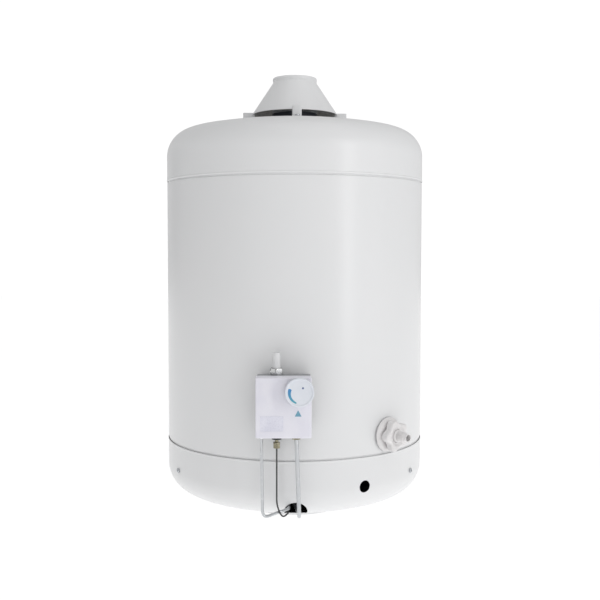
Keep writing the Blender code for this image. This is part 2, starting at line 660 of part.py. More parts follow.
def build_tank():
    shell = piece("tank_shell", sleeve(TANK_RADIUS, TANK_RADIUS - TANK_WALL, TANK_BOTTOM_RISE,
                                       TANK_TOP_RISE, SHELL_FACETS), TANK_STEEL, heater)
    root = TANK_RADIUS - TANK_WALL / 2 - JACKET_RADIUS
    crest = -JACKET_WALL - BOSS_GAP
    blanket = piece("insulation_blanket",
                    sleeve(JACKET_RADIUS - JACKET_WALL - 2 * FIT_GAP, TANK_RADIUS + 2 * FIT_GAP,
                           TANK_BOTTOM_RISE, TANK_TOP_RISE, SHELL_FACETS), WOOL, heater)
    for rise in bracket_rises.values():
        for azimuth in bracket_sides:
            spot = round_the_tank(azimuth, JACKET_RADIUS, rise)
            join(shell, rod(BOSS_RADIUS, root, crest), heater, spot, outwards(azimuth))
            cut(shell, rod(BOLT_RADIUS + FIT_GAP, root + BOSS_WEB, CUT_PAST), heater, spot,
                outwards(azimuth))
            cut(blanket, rod(BOSS_RADIUS + RUN_GAP, root - CUT_PAST, CUT_PAST), heater, spot,
                outwards(azimuth))
    control = (CONTROL_X, -JACKET_RADIUS, CONTROL_RISE)
    for parent, spot, turn, radius, bore, end in (
            (drain, (0, 0, 0), (0, 0, 0), DRAIN_SPUD_RADIUS, DRAIN_SHANK_RADIUS, crest),
            (heater, control, outwards(0), SPUD_RADIUS, SPUD_BORE_RADIUS,
             CONTROL_FRONT - COVER_DEPTH - VALVE_DEPTH - 2 * FIT_GAP)):
        join(shell, rod(radius, root, end, PIPE_FACETS), parent, spot, turn)
        reach = root - 2 * CUT_PAST
        cut(shell, rod(bore + FIT_GAP, reach, 3 * CUT_PAST, PIPE_FACETS), parent, spot, turn)
        cut(blanket, rod(radius + RUN_GAP, reach, 2 * CUT_PAST, PIPE_FACETS), parent, spot, turn)

    head = dished(HEAD_RADIUS, HEAD_SKIRT, HEAD_KNUCKLE, HEAD_CROWN, FLUE_RADIUS + FIT_GAP, TANK_WALL,
                  HEAD_KNUCKLE_STEPS)
    top_head = piece("tank_top_head", turned(head), TANK_STEEL, heater,
                     (0, 0, TANK_TOP_RISE - HEAD_SKIRT))
    bottom_head = piece("tank_bottom_head", turned(head), TANK_STEEL, heater,
                        (0, 0, TANK_BOTTOM_RISE))
    for side in (-1, 1):
        spot = round_the_tank(side * NIPPLE_AZIMUTH, CHAMBER_TO_TANK, TANK_BOTTOM_RISE)
        cut(bottom_head, rod(NIPPLE_RADIUS + FIT_GAP, 0, 8 * CUT_PAST, PIPE_FACETS), heater, spot)
    cut(top_head, rod(ANODE_THREAD_RADIUS + FIT_GAP, 0, 10 * CUT_PAST, PIPE_FACETS), heater,
        (0, ANODE_OFFSET, TANK_TOP_RISE))

    flue_top = top_cover_rise(FLUE_RADIUS) + FLUE_OVER_COVER
    flue_bottom = bottom_head_rise(FLUE_RADIUS) - FIT_GAP
    piece("flue_tube", sleeve(FLUE_RADIUS, FLUE_RADIUS - FLUE_WALL, flue_bottom, flue_top,
                              SHELL_FACETS), TANK_STEEL, heater)
    build_baffle(flue_top)

    pad_inner = FLUE_RADIUS + 3 * FIT_GAP
    pad_outer = ANODE_OFFSET - ANODE_THREAD_RADIUS - PAD_CLEARANCE
    pad_low = top_head_rise(0) + PAD_OVER_HEAD
    pad_high = top_cover_rise(ANODE_OFFSET) - PAD_UNDER_COVER
    top_pad = [(pad_inner, pad_low), (pad_outer, pad_low), (pad_outer, pad_high), (pad_inner, pad_high)]
    piece("top_insulation", turned(top_pad), WOOL, heater)

    seat = top_head_rise(ANODE_OFFSET)
    plug_low = seat - ANODE_PLUG_THREAD
    shoulder = seat + ANODE_PLUG_SHOULDER
    plug = piece("anode_plug", rod(ANODE_THREAD_RADIUS, plug_low, shoulder), BRASS, heater,
                 (0, ANODE_OFFSET, 0))
    join(plug, rod(ANODE_THREAD_RADIUS * 1.2, shoulder - 0.001, seat + ANODE_HEAD, 6), heater,
         (0, ANODE_OFFSET, 0))
    piece("anode_rod", rod(ANODE_RADIUS, plug_low - FIT_GAP - ANODE_LENGTH, plug_low - FIT_GAP),
          MAGNESIUM, heater, (0, ANODE_OFFSET, 0))


def build_baffle(flue_top):
    """A twisted strip that hangs in the flue by a bar over the flue's end."""
    bm = bmesh.new()
    rings = []
    for step in range(BAFFLE_STEPS + 1):
        turn = BAFFLE_TURNS * math.tau * step / BAFFLE_STEPS
        height = flue_top - BAFFLE_LENGTH * step / BAFFLE_STEPS
        along = Vector((math.cos(turn), math.sin(turn), 0)) * BAFFLE_WIDTH / 2
        across = Vector((-math.sin(turn), math.cos(turn), 0)) * BAFFLE_THICKNESS / 2
        corners = (along + across, along - across, -along - across, -along + across)
        rings.append([bm.verts.new(corner + Vector((0, 0, height))) for corner in corners])
    for one, two in zip(rings, rings[1:]):
        # The two wide faces share one diagonal, so that the twisted strip stays clear of itself.
        for corners in ((one[3], one[0], two[3]), (one[0], two[0], two[3]), (one[1], one[2], two[2]),
                        (one[1], two[2], two[1]), (one[0], one[1], two[1], two[0]),
                        (one[2], one[3], two[3], two[2])):
            bm.faces.new(corners)
    bm.faces.new(rings[0])
    bm.faces.new(rings[-1])
    bmesh.ops.recalc_face_normals(bm, faces=bm.faces)
    baffle = piece("flue_baffle", bm, GALVANISED, heater)
    half = BAFFLE_THICKNESS
    join(baffle, block((-FLUE_RADIUS, -half, flue_top + FIT_GAP),
                       (FLUE_RADIUS, half, flue_top + BAFFLE_BAR_HEIGHT)), heater)
    join(baffle, block((-BAFFLE_WIDTH / 4, -half, flue_top - BAFFLE_NECK),
                       (BAFFLE_WIDTH / 4, half, flue_top + BAFFLE_NECK)), heater)


def build_water_connections():
    for side, name in ((-1, "cold"), (1, "hot")):
        spot = round_the_tank(side * NIPPLE_AZIMUTH, CHAMBER_TO_TANK, 0)
        inside = bottom_head_rise(CHAMBER_TO_TANK) + NIPPLE_INSIDE
        piece(f"{name}_water_nipple", sleeve(NIPPLE_RADIUS, NIPPLE_BORE_RADIUS, NIPPLE_END_RISE, inside),
              GALVANISED, heater, spot)
        if name == "hot":
            top = top_head_rise(CHAMBER_TO_TANK) - STANDPIPE_BELOW_HEAD
            piece("hot_water_standpipe",
                  sleeve(STANDPIPE_RADIUS, STANDPIPE_RADIUS - STANDPIPE_WALL, inside - STANDPIPE_SEAT,
                         top), WHITE_PLASTIC, heater, spot)
        else:
            outer = NIPPLE_BORE_RADIUS - FIT_GAP
            top = inside + DEFLECTOR_HEIGHT
            low = inside - DEFLECTOR_SEAT
            cap = [(outer - DEFLECTOR_WALL, low), (outer, low), (outer, top),
                   (0, top), (0, top - DEFLECTOR_WALL), (outer - DEFLECTOR_WALL, top - DEFLECTOR_WALL)]
            deflector = piece("cold_inlet_deflector", turned(cap, PIPE_FACETS), WHITE_PLASTIC, heater,
                              spot)
            cut(deflector, block((0, -outer / 2, inside + DEFLECTOR_SLOT_SILL),
                                 (outer + CUT_PAST, outer / 2, top - DEFLECTOR_SLOT_HEAD)), heater, spot)


def build_brackets():
    back = JACKET_RADIUS + WALL_STANDOFF
    foot_radius = JACKET_RADIUS + FIT_GAP + BRACKET_WALL / 2
    middle = Vector((math.sin(BRACKET_AZIMUTH), -math.cos(BRACKET_AZIMUTH))) * foot_radius
    along = Vector((math.cos(BRACKET_AZIMUTH), math.sin(BRACKET_AZIMUTH))) * BRACKET_FOOT / 2
    right = [(BRACKET_HALF_BACK, back - BRACKET_WALL / 2), tuple(middle + along), tuple(middle - along)]
    left = [(-x, y) for x, y in right[::-1]]
    head_seat = JACKET_RADIUS + BRACKET_WALL + 2 * FIT_GAP
    for name, rise in bracket_rises.items():
        body = prism(strap(left + right, BRACKET_WALL), rise - BRACKET_HEIGHT / 2,
                     rise + BRACKET_HEIGHT / 2)
        bracket = piece(f"{name}_wall_bracket", body, GALVANISED, heater)
        for side in (-1, 1):
            slot = block((side * BRACKET_SLOT_X - BRACKET_SLOT_WIDTH / 2, back - CUT_PAST,
                          rise - BRACKET_SLOT_HEIGHT / 2),
                         (side * BRACKET_SLOT_X + BRACKET_SLOT_WIDTH / 2, back + CUT_PAST,
                          rise + BRACKET_SLOT_HEIGHT / 2))
            cut(bracket, slot, heater)
        for azimuth, side in zip(bracket_sides, ("left", "right")):
            spot = round_the_tank(azimuth, head_seat, rise)
            cut(bracket, rod(BOLT_RADIUS + FIT_GAP, -CUT_PAST, CUT_PAST), heater, spot, outwards(azimuth))
            bolt = piece(f"{name}_bracket_bolt_{side}", rod(BOLT_RADIUS, -BOLT_LENGTH, BOLT_HEAD / 2),
                         STEEL, heater, spot, outwards(azimuth))
            join(bolt, rod(BOLT_HEAD_RADIUS, 0, BOLT_HEAD, 6), heater, spot, outwards(azimuth))


def build_burner():
    rim = bottom_head_rise(CHAMBER_RADIUS) - FIT_GAP
    chamber = piece("combustion_chamber", sleeve(CHAMBER_RADIUS, CHAMBER_RADIUS - CHAMBER_WALL,
                                                 CHAMBER_BOTTOM_RISE, rim, SHELL_FACETS),
                    GALVANISED, heater)
    half_bar = BAR_WIDTH / 2
    bar_low = CHAMBER_BOTTOM_RISE + BAR_OVER_CHAMBER
    for side in (-1, 1):
        slot = block((side * CHAMBER_RADIUS - CHAMBER_SLOT_DEPTH, -half_bar - FIT_GAP,
                      CHAMBER_BOTTOM_RISE - CUT_PAST),
                     (side * CHAMBER_RADIUS + CHAMBER_SLOT_DEPTH, half_bar + FIT_GAP,
                      bar_low + BAR_WALL + FIT_GAP))
        cut(chamber, slot, heater)
    reach = CHAMBER_RADIUS + BAR_PAST_CHAMBER
    bar = piece("burner_support_bar", block((-reach, -half_bar, bar_low),
                                            (reach, half_bar, bar_low + BAR_WALL)), GALVANISED, heater)
    cut(bar, rod(MIXER_RADIUS + FIT_GAP, bar_low - CUT_PAST, bar_low + CUT_PAST, PIPE_FACETS), heater)

    inner = MIXER_RADIUS + FIT_GAP
    wall = BURNER_WALL
    shoulder = BURNER_TOP - BURNER_BEVEL_HEIGHT
    flat = BURNER_RADIUS - BURNER_BEVEL_WIDTH
    pan = [(inner, BURNER_RISE), (BURNER_RADIUS, BURNER_RISE), (BURNER_RADIUS, shoulder),
           (flat, BURNER_TOP), (0, BURNER_TOP), (0, BURNER_TOP - wall), (flat - 0.001, BURNER_TOP - wall),
           (BURNER_RADIUS - wall, shoulder - 0.001), (BURNER_RADIUS - wall, BURNER_RISE + wall),
           (inner, BURNER_RISE + wall)]
    burner = piece("burner_head", turned(pan, PIPE_FACETS), DARK_CASTING, heater)
    port_top = shoulder - 0.002
    port = block((BURNER_RADIUS - 2 * wall, -BURNER_PORT_WIDTH / 2, port_top - BURNER_PORT_HEIGHT),
                 (BURNER_RADIUS + 2 * wall, BURNER_PORT_WIDTH / 2, port_top))
    cut(burner, ring_of(port, BURNER_PORTS), heater)

    mixer_end = -MIXER_REACH
    route = rounded([(0, 0, BURNER_RISE + MIXER_IN_HEAD), (0, 0, MAIN_BEND_RISE),
                     (0, mixer_end, MAIN_BEND_RISE)], MIXER_BEND)
    piece("burner_mixer_tube", sweep(route, MIXER_RADIUS, MIXER_RADIUS - MIXER_WALL, SMALL_FACETS),
          DARK_CASTING, heater)
    tip = mixer_end - INJECTOR_AIR_GAP
    hollow = [(INJECTOR_ORIFICE_RADIUS, 0), (INJECTOR_RADIUS, 0), (INJECTOR_RADIUS, INJECTOR_LENGTH),
              (MAIN_RADIUS + FIT_GAP, INJECTOR_LENGTH), (MAIN_RADIUS + FIT_GAP, INJECTOR_LENGTH / 2),
              (INJECTOR_ORIFICE_RADIUS, INJECTOR_LENGTH / 2 - 0.002)]
    piece("burner_injector", turned(hollow, SMALL_FACETS), BRASS, heater, (0, tip, MAIN_BEND_RISE),
          outwards(0))
    return tip - INJECTOR_LENGTH / 2 - FIT_GAP


def build_gas_lines(injector_seat):
    """The lines from the control, through the hole under the cover, to the burner."""
    hole_y = -JACKET_RADIUS + 0.010
    main_foot = MAIN_X + MAIN_LEAN
    main = rounded([(MAIN_X, LINES_Y, VALVE_BOTTOM - FIT_GAP), (main_foot, LINES_Y, MAIN_BEND_RISE),
                    (main_foot, hole_y, MAIN_BEND_RISE), (0, hole_y + 0.04, MAIN_BEND_RISE),
                    (0, injector_seat, MAIN_BEND_RISE)], LINE_BEND)
    piece("main_gas_tube", sweep(main, MAIN_RADIUS, MAIN_BORE_RADIUS), ALUMINIUM, heater)

    pilot = rounded([(PILOT_X, LINES_Y, VALVE_BOTTOM - FIT_GAP), (PILOT_X + 0.002, LINES_Y, -0.0849),
                     (-0.0259, LINES_Y + 0.002, -0.0757), (-0.0060, hole_y - 0.012, -0.0743),
                     (IGNITION_X, hole_y + 0.05, -0.0750), (IGNITION_X, IGNITION_Y, -0.0750),
                     (IGNITION_X, IGNITION_Y, PILOT_FOOT)], PILOT_BEND)
    piece("pilot_tube", sweep(pilot, PILOT_LINE_RADIUS, PILOT_BORE_RADIUS), ALUMINIUM, heater)

    lead_top = VALVE_BOTTOM - LEAD_NUT_DROP - LEAD_NUT_HEIGHT - FIT_GAP
    lead = rounded([(LEAD_X, LINES_Y, lead_top), (LEAD_X, LINES_Y, -0.064),
                    (-0.019, LINES_Y + 0.001, -0.0845), (-0.009, hole_y - 0.014, -0.0810),
                    (-0.010, hole_y + 0.03, -0.0830), (PROBE_X, hole_y + 0.06, -0.0820),
                    (PROBE_X, IGNITION_Y, -0.0820), (PROBE_X, IGNITION_Y, PILOT_FOOT)], LEAD_BEND)
    piece("thermocouple_lead", sweep(lead, LEAD_RADIUS, facets=6), RUBBER, heater)

    piece("pilot_burner", sleeve(PILOT_BURNER_RADIUS, PILOT_BURNER_RADIUS / 2, PILOT_FOOT + FIT_GAP,
                                 PILOT_FOOT + PILOT_BURNER_HEIGHT, SMALL_FACETS), STEEL, heater,
          (IGNITION_X, IGNITION_Y, 0))
    piece("thermocouple_probe", rod(PROBE_RADIUS, PILOT_FOOT + FIT_GAP, PILOT_FOOT + PROBE_HEIGHT),
          COPPER, heater, (PROBE_X, IGNITION_Y, 0))
    plate = PILOT_FOOT + PILOT_PLATE_RISE
    bracket = piece("pilot_bracket",
                    block((PROBE_X - PILOT_PLATE_MARGIN, IGNITION_Y - PILOT_PLATE_FRONT, plate),
                          (IGNITION_X + PILOT_PLATE_MARGIN, IGNITION_Y + PILOT_PLATE_BACK,
                           plate + PILOT_PLATE_WALL)), GALVANISED, heater)
    for x, radius in ((IGNITION_X, PILOT_BURNER_RADIUS), (PROBE_X, PROBE_RADIUS)):
        cut(bracket, rod(radius + FIT_GAP, plate - CUT_PAST, plate + CUT_PAST), heater, (x, IGNITION_Y, 0))


def hex_nut(radius, bore, low, high):
    """A hexagon sleeve, with its flats to the front and back."""
    return sleeve(radius, bore, low, high, 6)


def build_gas_control():
    low_x = CONTROL_X - CONTROL_WIDTH / 2
    high_x = CONTROL_X + CONTROL_WIDTH / 2
    low_z = CONTROL_RISE - CONTROL_HEIGHT / 2
    high_z = CONTROL_RISE + CONTROL_HEIGHT / 2
    outside = block((low_x, CONTROL_Y, low_z), (high_x, COVER_BACK_Y, high_z))
    front = [edge for edge in outside.edges
             if min(corner.co.y for corner in edge.verts) < CONTROL_Y + WELD]
    bmesh.ops.bevel(outside, geom=front, offset=COVER_ROUNDING, segments=3, profile=0.5,
                    affect="EDGES")
    cover = piece("valve_cover", outside, WHITE_PLASTIC, heater)
    wall = COVER_THICKNESS
    hollow = block((low_x + wall, CONTROL_Y + wall, low_z + wall),
                   (high_x - wall, COVER_BACK_Y + CUT_PAST, high_z - wall))
    cut(cover, hollow, heater)
    cut(cover, rod(SHAFT_RADIUS + RUN_GAP, -CUT_PAST, CUT_PAST), knob)

    valve = piece("gas_valve_body", block((low_x + VALVE_INSET, VALVE_FRONT_Y, VALVE_BOTTOM),
                                          (high_x - VALVE_INSET, VALVE_BACK_Y, VALVE_TOP)),
                  DARK_CASTING, heater)
    cut(valve, rod(SHAFT_RADIUS + RUN_GAP, -COVER_DEPTH - SHAFT_SEAT - 2 * FIT_GAP, CUT_PAST), knob)
    inlet_low = VALVE_TOP - INLET_SEAT
    cut(valve, rod(INLET_RADIUS + FIT_GAP, inlet_low - RUN_GAP, VALVE_TOP + CUT_PAST, SMALL_FACETS), heater,
        (INLET_X, LINES_Y, 0))
    face = -(JACKET_RADIUS + CONTROL_FRONT - COVER_DEPTH - VALVE_DEPTH)
    cut(valve, rod(STEM_COLLAR_RADIUS + FIT_GAP, -CUT_PAST, STEM_SEAT, PIPE_FACETS), heater,
        (CONTROL_X, face, CONTROL_RISE), outwards(0))

    stem_end = JACKET_RADIUS - TANK_RADIUS + STEM_LENGTH
    stem = piece("thermostat_stem", rod(STEM_RADIUS, -stem_end, 0.004), COPPER, heater,
                 (CONTROL_X, -JACKET_RADIUS, CONTROL_RISE), outwards(0))
    join(stem, rod(STEM_COLLAR_RADIUS, TANK_RADIUS - JACKET_RADIUS - TANK_WALL, STEM_END, PIPE_FACETS),
         heater, (CONTROL_X, -JACKET_RADIUS, CONTROL_RISE), outwards(0))

    piece("gas_inlet_tube", sleeve(INLET_RADIUS, INLET_BORE_RADIUS, inlet_low, high_z + INLET_HEIGHT),
          ENAMEL, heater, (INLET_X, LINES_Y, 0))
    piece("gas_inlet_nut", hex_nut(INLET_NUT_RADIUS, INLET_RADIUS * NUT_SEAT_SHARE + FIT_GAP,
                                   VALVE_TOP + FIT_GAP, VALVE_TOP + INLET_NUT_HEIGHT), BRASS, heater,
          (INLET_X, LINES_Y, 0))
    top = VALVE_BOTTOM - FIT_GAP
    for name, x, radius, line, height in (
            ("main_gas_tube_nut", MAIN_X, MAIN_NUT_RADIUS, MAIN_RADIUS, MAIN_NUT_HEIGHT),
            ("pilot_tube_nut", PILOT_X, PILOT_NUT_RADIUS, PILOT_LINE_RADIUS, PILOT_NUT_HEIGHT)):
        piece(name, hex_nut(radius, line * NUT_SEAT_SHARE + FIT_GAP, top - height, top), BRASS, heater,
              (x, LINES_Y, 0))
    nut_top = VALVE_BOTTOM - LEAD_NUT_DROP
    nut = piece("thermocouple_nut", rod(LEAD_NUT_RADIUS, nut_top - LEAD_NUT_HEIGHT, nut_top, 6), BRASS,
                heater, (LEAD_X, LINES_Y, 0))
    join(nut, rod(LEAD_FERRULE_RADIUS, nut_top - 0.002, top), heater, (LEAD_X, LINES_Y, 0))


def build_knob():
    back = KNOB_STROKE + RUN_GAP
    front = back + KNOB_HEIGHT
    shaft_end = front - KNOB_WALL - KNOB_STROKE - RUN_GAP
    piece("control_shaft", rod(SHAFT_RADIUS, -COVER_DEPTH - SHAFT_SEAT, shaft_end), STEEL, knob)
    skirt = KNOB_RADIUS - KNOB_WALL
    bore = SHAFT_RADIUS + RUN_GAP
    section = [(KNOB_RADIUS, back), (KNOB_RADIUS, front - 0.001), (KNOB_RADIUS - 0.001, front),
               (0, front), (0, front - KNOB_WALL), (bore, front - KNOB_WALL), (bore, back),
               (KNOB_HUB_RADIUS, back), (KNOB_HUB_RADIUS, front - KNOB_WALL - 0.0005),
               (skirt, front - KNOB_WALL - 0.0005), (skirt, back)]
    piece("control_knob", turned(section, KNOB_FACETS), WHITE_PLASTIC, knob)

    coil = []
    per_turn = 8
    start = SPRING_WIRE + FIT_GAP
    length = back - 2 * start
    for step in range(SPRING_TURNS * per_turn + 1):
        turn = math.tau * step / per_turn
        height = start + length * step / (SPRING_TURNS * per_turn)
        coil.append(Vector((SPRING_RADIUS * math.cos(turn), SPRING_RADIUS * math.sin(turn), height)))
    piece("knob_spring", sweep(coil, SPRING_WIRE, facets=5), STEEL, knob)


def build_drain_valve():
    bore = DRAIN_BORE_RADIUS
    inner = TANK_RADIUS - TANK_WALL - JACKET_RADIUS
    neck_end = HANDLE_START + HANDLE_HEIGHT + RUN_GAP
    section = [(DRAIN_SEAT_RADIUS, inner), (DRAIN_SHANK_RADIUS, inner), (DRAIN_SHANK_RADIUS, neck_end),
               (SPOUT_RADIUS, neck_end), (SPOUT_RADIUS, SPOUT_END - SPOUT_TAIL),
               (SPOUT_TAIL_RADIUS, SPOUT_END - SPOUT_TAIL), (SPOUT_TAIL_RADIUS, SPOUT_END),
               (bore, SPOUT_END), (bore, inner + DRAIN_SEAT_LENGTH),
               (DRAIN_SEAT_RADIUS, inner + DRAIN_SEAT_LENGTH)]
    piece("drain_valve_body", turned(section, PIPE_FACETS), DRAIN_PLASTIC, drain)
    hole = DRAIN_SHANK_RADIUS + FIT_GAP
    dish = [(hole, ROSETTE_BACK), (ROSETTE_RADIUS, ROSETTE_BACK), (ROSETTE_RADIUS, ROSETTE_EDGE),
            (ROSETTE_RADIUS * ROSETTE_FACE, ROSETTE_HEIGHT), (hole, ROSETTE_HEIGHT)]
    piece("drain_rosette", turned(dish, KNOB_FACETS), DRAIN_PLASTIC, drain)

    outline = []
    points = HANDLE_LOBES * 10
    for step in range(points):
        turn = math.tau * step / points
        radius = HANDLE_RADIUS - HANDLE_LOBE_DEPTH * (0.5 + 0.5 * math.cos(HANDLE_LOBES * turn))
        outline.append((radius * math.cos(turn), radius * math.sin(turn)))
    handle = piece("drain_handle", prism(outline, HANDLE_START, HANDLE_START + HANDLE_HEIGHT),
                   DRAIN_PLASTIC, drain)
    cut(handle, rod(DRAIN_SHANK_RADIUS + RUN_GAP, 0, HANDLE_START + HANDLE_HEIGHT + CUT_PAST, PIPE_FACETS),
        drain)

    tip = inner + DRAIN_SEAT_LENGTH + FIT_GAP
    stem = [(0, tip), (PLUNGER_RADIUS * 0.6, tip), (PLUNGER_RADIUS, tip + 0.001),
            (PLUNGER_RADIUS, tip + PLUNGER_LENGTH), (PLUNGER_BORE_RADIUS, tip + PLUNGER_LENGTH),
            (PLUNGER_BORE_RADIUS, tip + PLUNGER_TIP), (0, tip + PLUNGER_TIP)]
    plunger = piece("drain_plunger", turned(stem, PIPE_FACETS), DRAIN_PLASTIC, drain)
    slot_low = tip + PLUNGER_TIP + 0.001
    cut(plunger, block((-CUT_PAST, -PLUNGER_SLOT_WIDTH / 2, slot_low),
                       (CUT_PAST, PLUNGER_SLOT_WIDTH / 2, slot_low + PLUNGER_SLOT_HEIGHT)), drain)


build_casing()
build_hood()
build_tank()
build_water_connections()
build_brackets()
build_gas_lines(build_burner())
build_gas_control()
build_knob()
build_drain_valve()
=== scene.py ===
"""Wall-hung gas storage water heater: its finished outside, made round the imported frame.

Metres, +Z up, front towards -Y. "Rise" is a height over the bottom seam of the casing, and
"azimuth" turns from the front towards +X.
"""

import math

import bmesh
import bpy
from mathutils import Matrix, Vector


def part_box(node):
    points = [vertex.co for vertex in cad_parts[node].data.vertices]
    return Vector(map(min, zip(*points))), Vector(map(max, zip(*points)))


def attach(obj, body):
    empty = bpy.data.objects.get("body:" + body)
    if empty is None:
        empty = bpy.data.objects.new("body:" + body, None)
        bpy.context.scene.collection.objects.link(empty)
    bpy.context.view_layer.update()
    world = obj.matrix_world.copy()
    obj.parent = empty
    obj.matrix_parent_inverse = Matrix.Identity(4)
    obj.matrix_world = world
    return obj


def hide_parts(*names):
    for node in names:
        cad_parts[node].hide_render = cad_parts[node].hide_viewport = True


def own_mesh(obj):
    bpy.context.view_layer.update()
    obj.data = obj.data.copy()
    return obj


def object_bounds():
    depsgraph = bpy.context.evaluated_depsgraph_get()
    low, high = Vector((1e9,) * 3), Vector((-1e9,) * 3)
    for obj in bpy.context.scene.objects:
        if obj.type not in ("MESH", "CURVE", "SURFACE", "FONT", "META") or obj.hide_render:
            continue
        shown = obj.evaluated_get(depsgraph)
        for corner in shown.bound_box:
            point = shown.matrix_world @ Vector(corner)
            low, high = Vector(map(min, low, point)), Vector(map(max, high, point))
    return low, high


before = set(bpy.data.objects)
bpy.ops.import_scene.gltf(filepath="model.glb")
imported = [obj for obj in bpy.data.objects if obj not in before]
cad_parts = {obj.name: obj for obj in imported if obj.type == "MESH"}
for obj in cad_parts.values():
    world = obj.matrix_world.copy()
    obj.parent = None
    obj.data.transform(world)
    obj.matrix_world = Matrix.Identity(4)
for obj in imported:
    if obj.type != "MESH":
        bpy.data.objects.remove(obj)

cad_low, cad_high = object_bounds()

MM = 0.001
FULL_TURN = math.tau
CASING_STEPS = 192      # round the casing and its covers
PIPE_STEPS = 48
SCREW_STEPS = 36
TUBE_STEPS = 20

jacket_low, jacket_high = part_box("outer_jacket")
bottom_low, bottom_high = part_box("bottom_cover")
top_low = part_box("top_cover")[0]
JACKET_RADIUS = (jacket_high.y - jacket_low.y) / 2
COVER_RADIUS = (bottom_high.y - bottom_low.y) / 2
TANK_AXIS = Vector((0, (jacket_low.y + jacket_high.y) / 2, bottom_high.z))
TOP_SEAM_RISE = top_low.z - bottom_high.z

# Pressed covers
SHEET = 0.6 * MM
HEM_PROUD = 0.6 * MM
HEM_HEIGHT = 3.6 * MM
SEAM_GROOVE_DEPTH = 1.1 * MM
SEAM_GROOVE_HEIGHT = 2.0 * MM
TOP_SKIRT = 0.0441
TOP_KNUCKLE = 0.0489
TOP_CROWN = 0.960
TOP_FLUE_HOLE = 0.0408
BOTTOM_SKIRT = 0.0447
BOTTOM_KNUCKLE = 0.0499
BOTTOM_CROWN = 0.596
BURNER_OPENING = 0.095
SIGHT_AZIMUTH = math.radians(30)
SIGHT_RISE = -0.048
SIGHT_RADIUS = 0.010
TUBE_HOLE_X = 0.002
TUBE_HOLE_RADIUS = 0.0190
TUBE_HOLE_TOP = -0.0675
TUBE_HOLE_DEPTH = 0.050
COVER_SCREW_RISE = -0.042
COVER_SCREW_AZIMUTHS = (math.radians(-60), math.radians(60), math.radians(180))

# Draft hood
HOOD_BASE = 0.0765
HOOD_COLLAR = 0.0395
HOOD_COLLAR_HEIGHT = 0.0080
HOOD_CONE_HEIGHT = 0.0575
HOOD_SHEET = 1.0 * MM
HOOD_LEG_WIDTH = 0.0156
HOOD_LEG_REACH = 0.092
HOOD_LEG_FOOT = 0.0120
HOOD_LEG_SHEET = 1.2 * MM
HOOD_TURN = math.radians(2.5)
HOOD_LEGS = 4
HOOD_LEG_OVER_BASE = 0.0035
HOOD_LEG_ROOT = 0.0715

# Gas lines
LINES_OUT = JACKET_RADIUS + 0.0215
MAIN_BEND_RISE = -0.0845

# Studio
AMBIENT = 0.58           # strength of the white all round

# Drain valve
DRAIN_AZIMUTH = math.radians(42)
DRAIN_RISE = 0.032


# ---------------------------------------------------------------- shapes

def out_from_tank(azimuth, radius, rise):
    """A place at this azimuth round the tank and this far from its axis."""
    return TANK_AXIS + Vector((radius * math.sin(azimuth), -radius * math.cos(azimuth), rise))


def facing_out(azimuth, radius, rise):
    """Stands a shape's own Z straight out of the tank's side."""
    return (Matrix.Translation(out_from_tank(azimuth, radius, rise))
            @ Matrix.Rotation(azimuth, 4, "Z") @ Matrix.Rotation(math.pi / 2, 4, "X"))


def in_mm(*corners):
    """Corners given in millimetres, in metres."""
    return [tuple(size * MM for size in corner) for corner in corners]


def curve(start, corner, end, steps):
    """Points of a smooth bend from start to end, pulled towards the corner."""
    for step in range(steps + 1):
        share = step / steps
        yield start * (1 - share) ** 2 + corner * 2 * share * (1 - share) + end * share ** 2


def eased(corners, steps=6):
    """A half section whose (radius, height, easing) corners are rolled over by their easing."""
    points = [Vector(corner[:2]) for corner in corners]
    outline = []
    for index, corner in enumerate(corners):
        here = points[index]
        easing = corner[2] if len(corner) > 2 else 0
        if not easing:
            outline.append(tuple(here))
            continue
        before = points[index - 1] - here
        after = points[(index + 1) % len(points)] - here
        start = here + before.normalized() * min(easing, before.length * 0.49)
        end = here + after.normalized() * min(easing, after.length * 0.49)
        outline += [tuple(point) for point in curve(start, here, end, steps)]
    return outline


def wrap(shape, one, two, closed=True):
    """Faces between two rows of as many points."""
    for step in range(len(one) if closed else len(one) - 1):
        following = (step + 1) % len(one)
        shape.faces.new((one[step], one[following], two[following], two[step]))


def sealed(shape, *ends):
    """Closes each end with one face, and turns every face outwards."""
    for end in ends:
        shape.faces.new(end)
    bmesh.ops.recalc_face_normals(shape, faces=shape.faces)
    return shape


def spun(outline, steps=PIPE_STEPS, waver=None):
    """A closed shape turned about Z; waver(angle, radius, height) gives a changed radius."""
    shape = bmesh.new()
    rings = []
    for radius, height in outline:
        if radius < 1e-7:
            rings.append([shape.verts.new((0, 0, height))])
            continue
        ring = []
        for step in range(steps):
            angle = FULL_TURN * step / steps
            reach = waver(angle, radius, height) if waver else radius
            ring.append(shape.verts.new((reach * math.cos(angle), reach * math.sin(angle), height)))
        rings.append(ring)
    pairs = list(zip(rings, rings[1:]))
    if len(rings[0]) > 1 or len(rings[-1]) > 1:
        pairs.append((rings[-1], rings[0]))
    for one, two in pairs:
        for step in range(steps):
            following = (step + 1) % steps
            corners = [one[step % len(one)], one[following % len(one)],
                       two[following % len(two)], two[step % len(two)]]
            corners = list(dict.fromkeys(corners))
            if len(corners) > 2:
                shape.faces.new(corners)
    return sealed(shape)


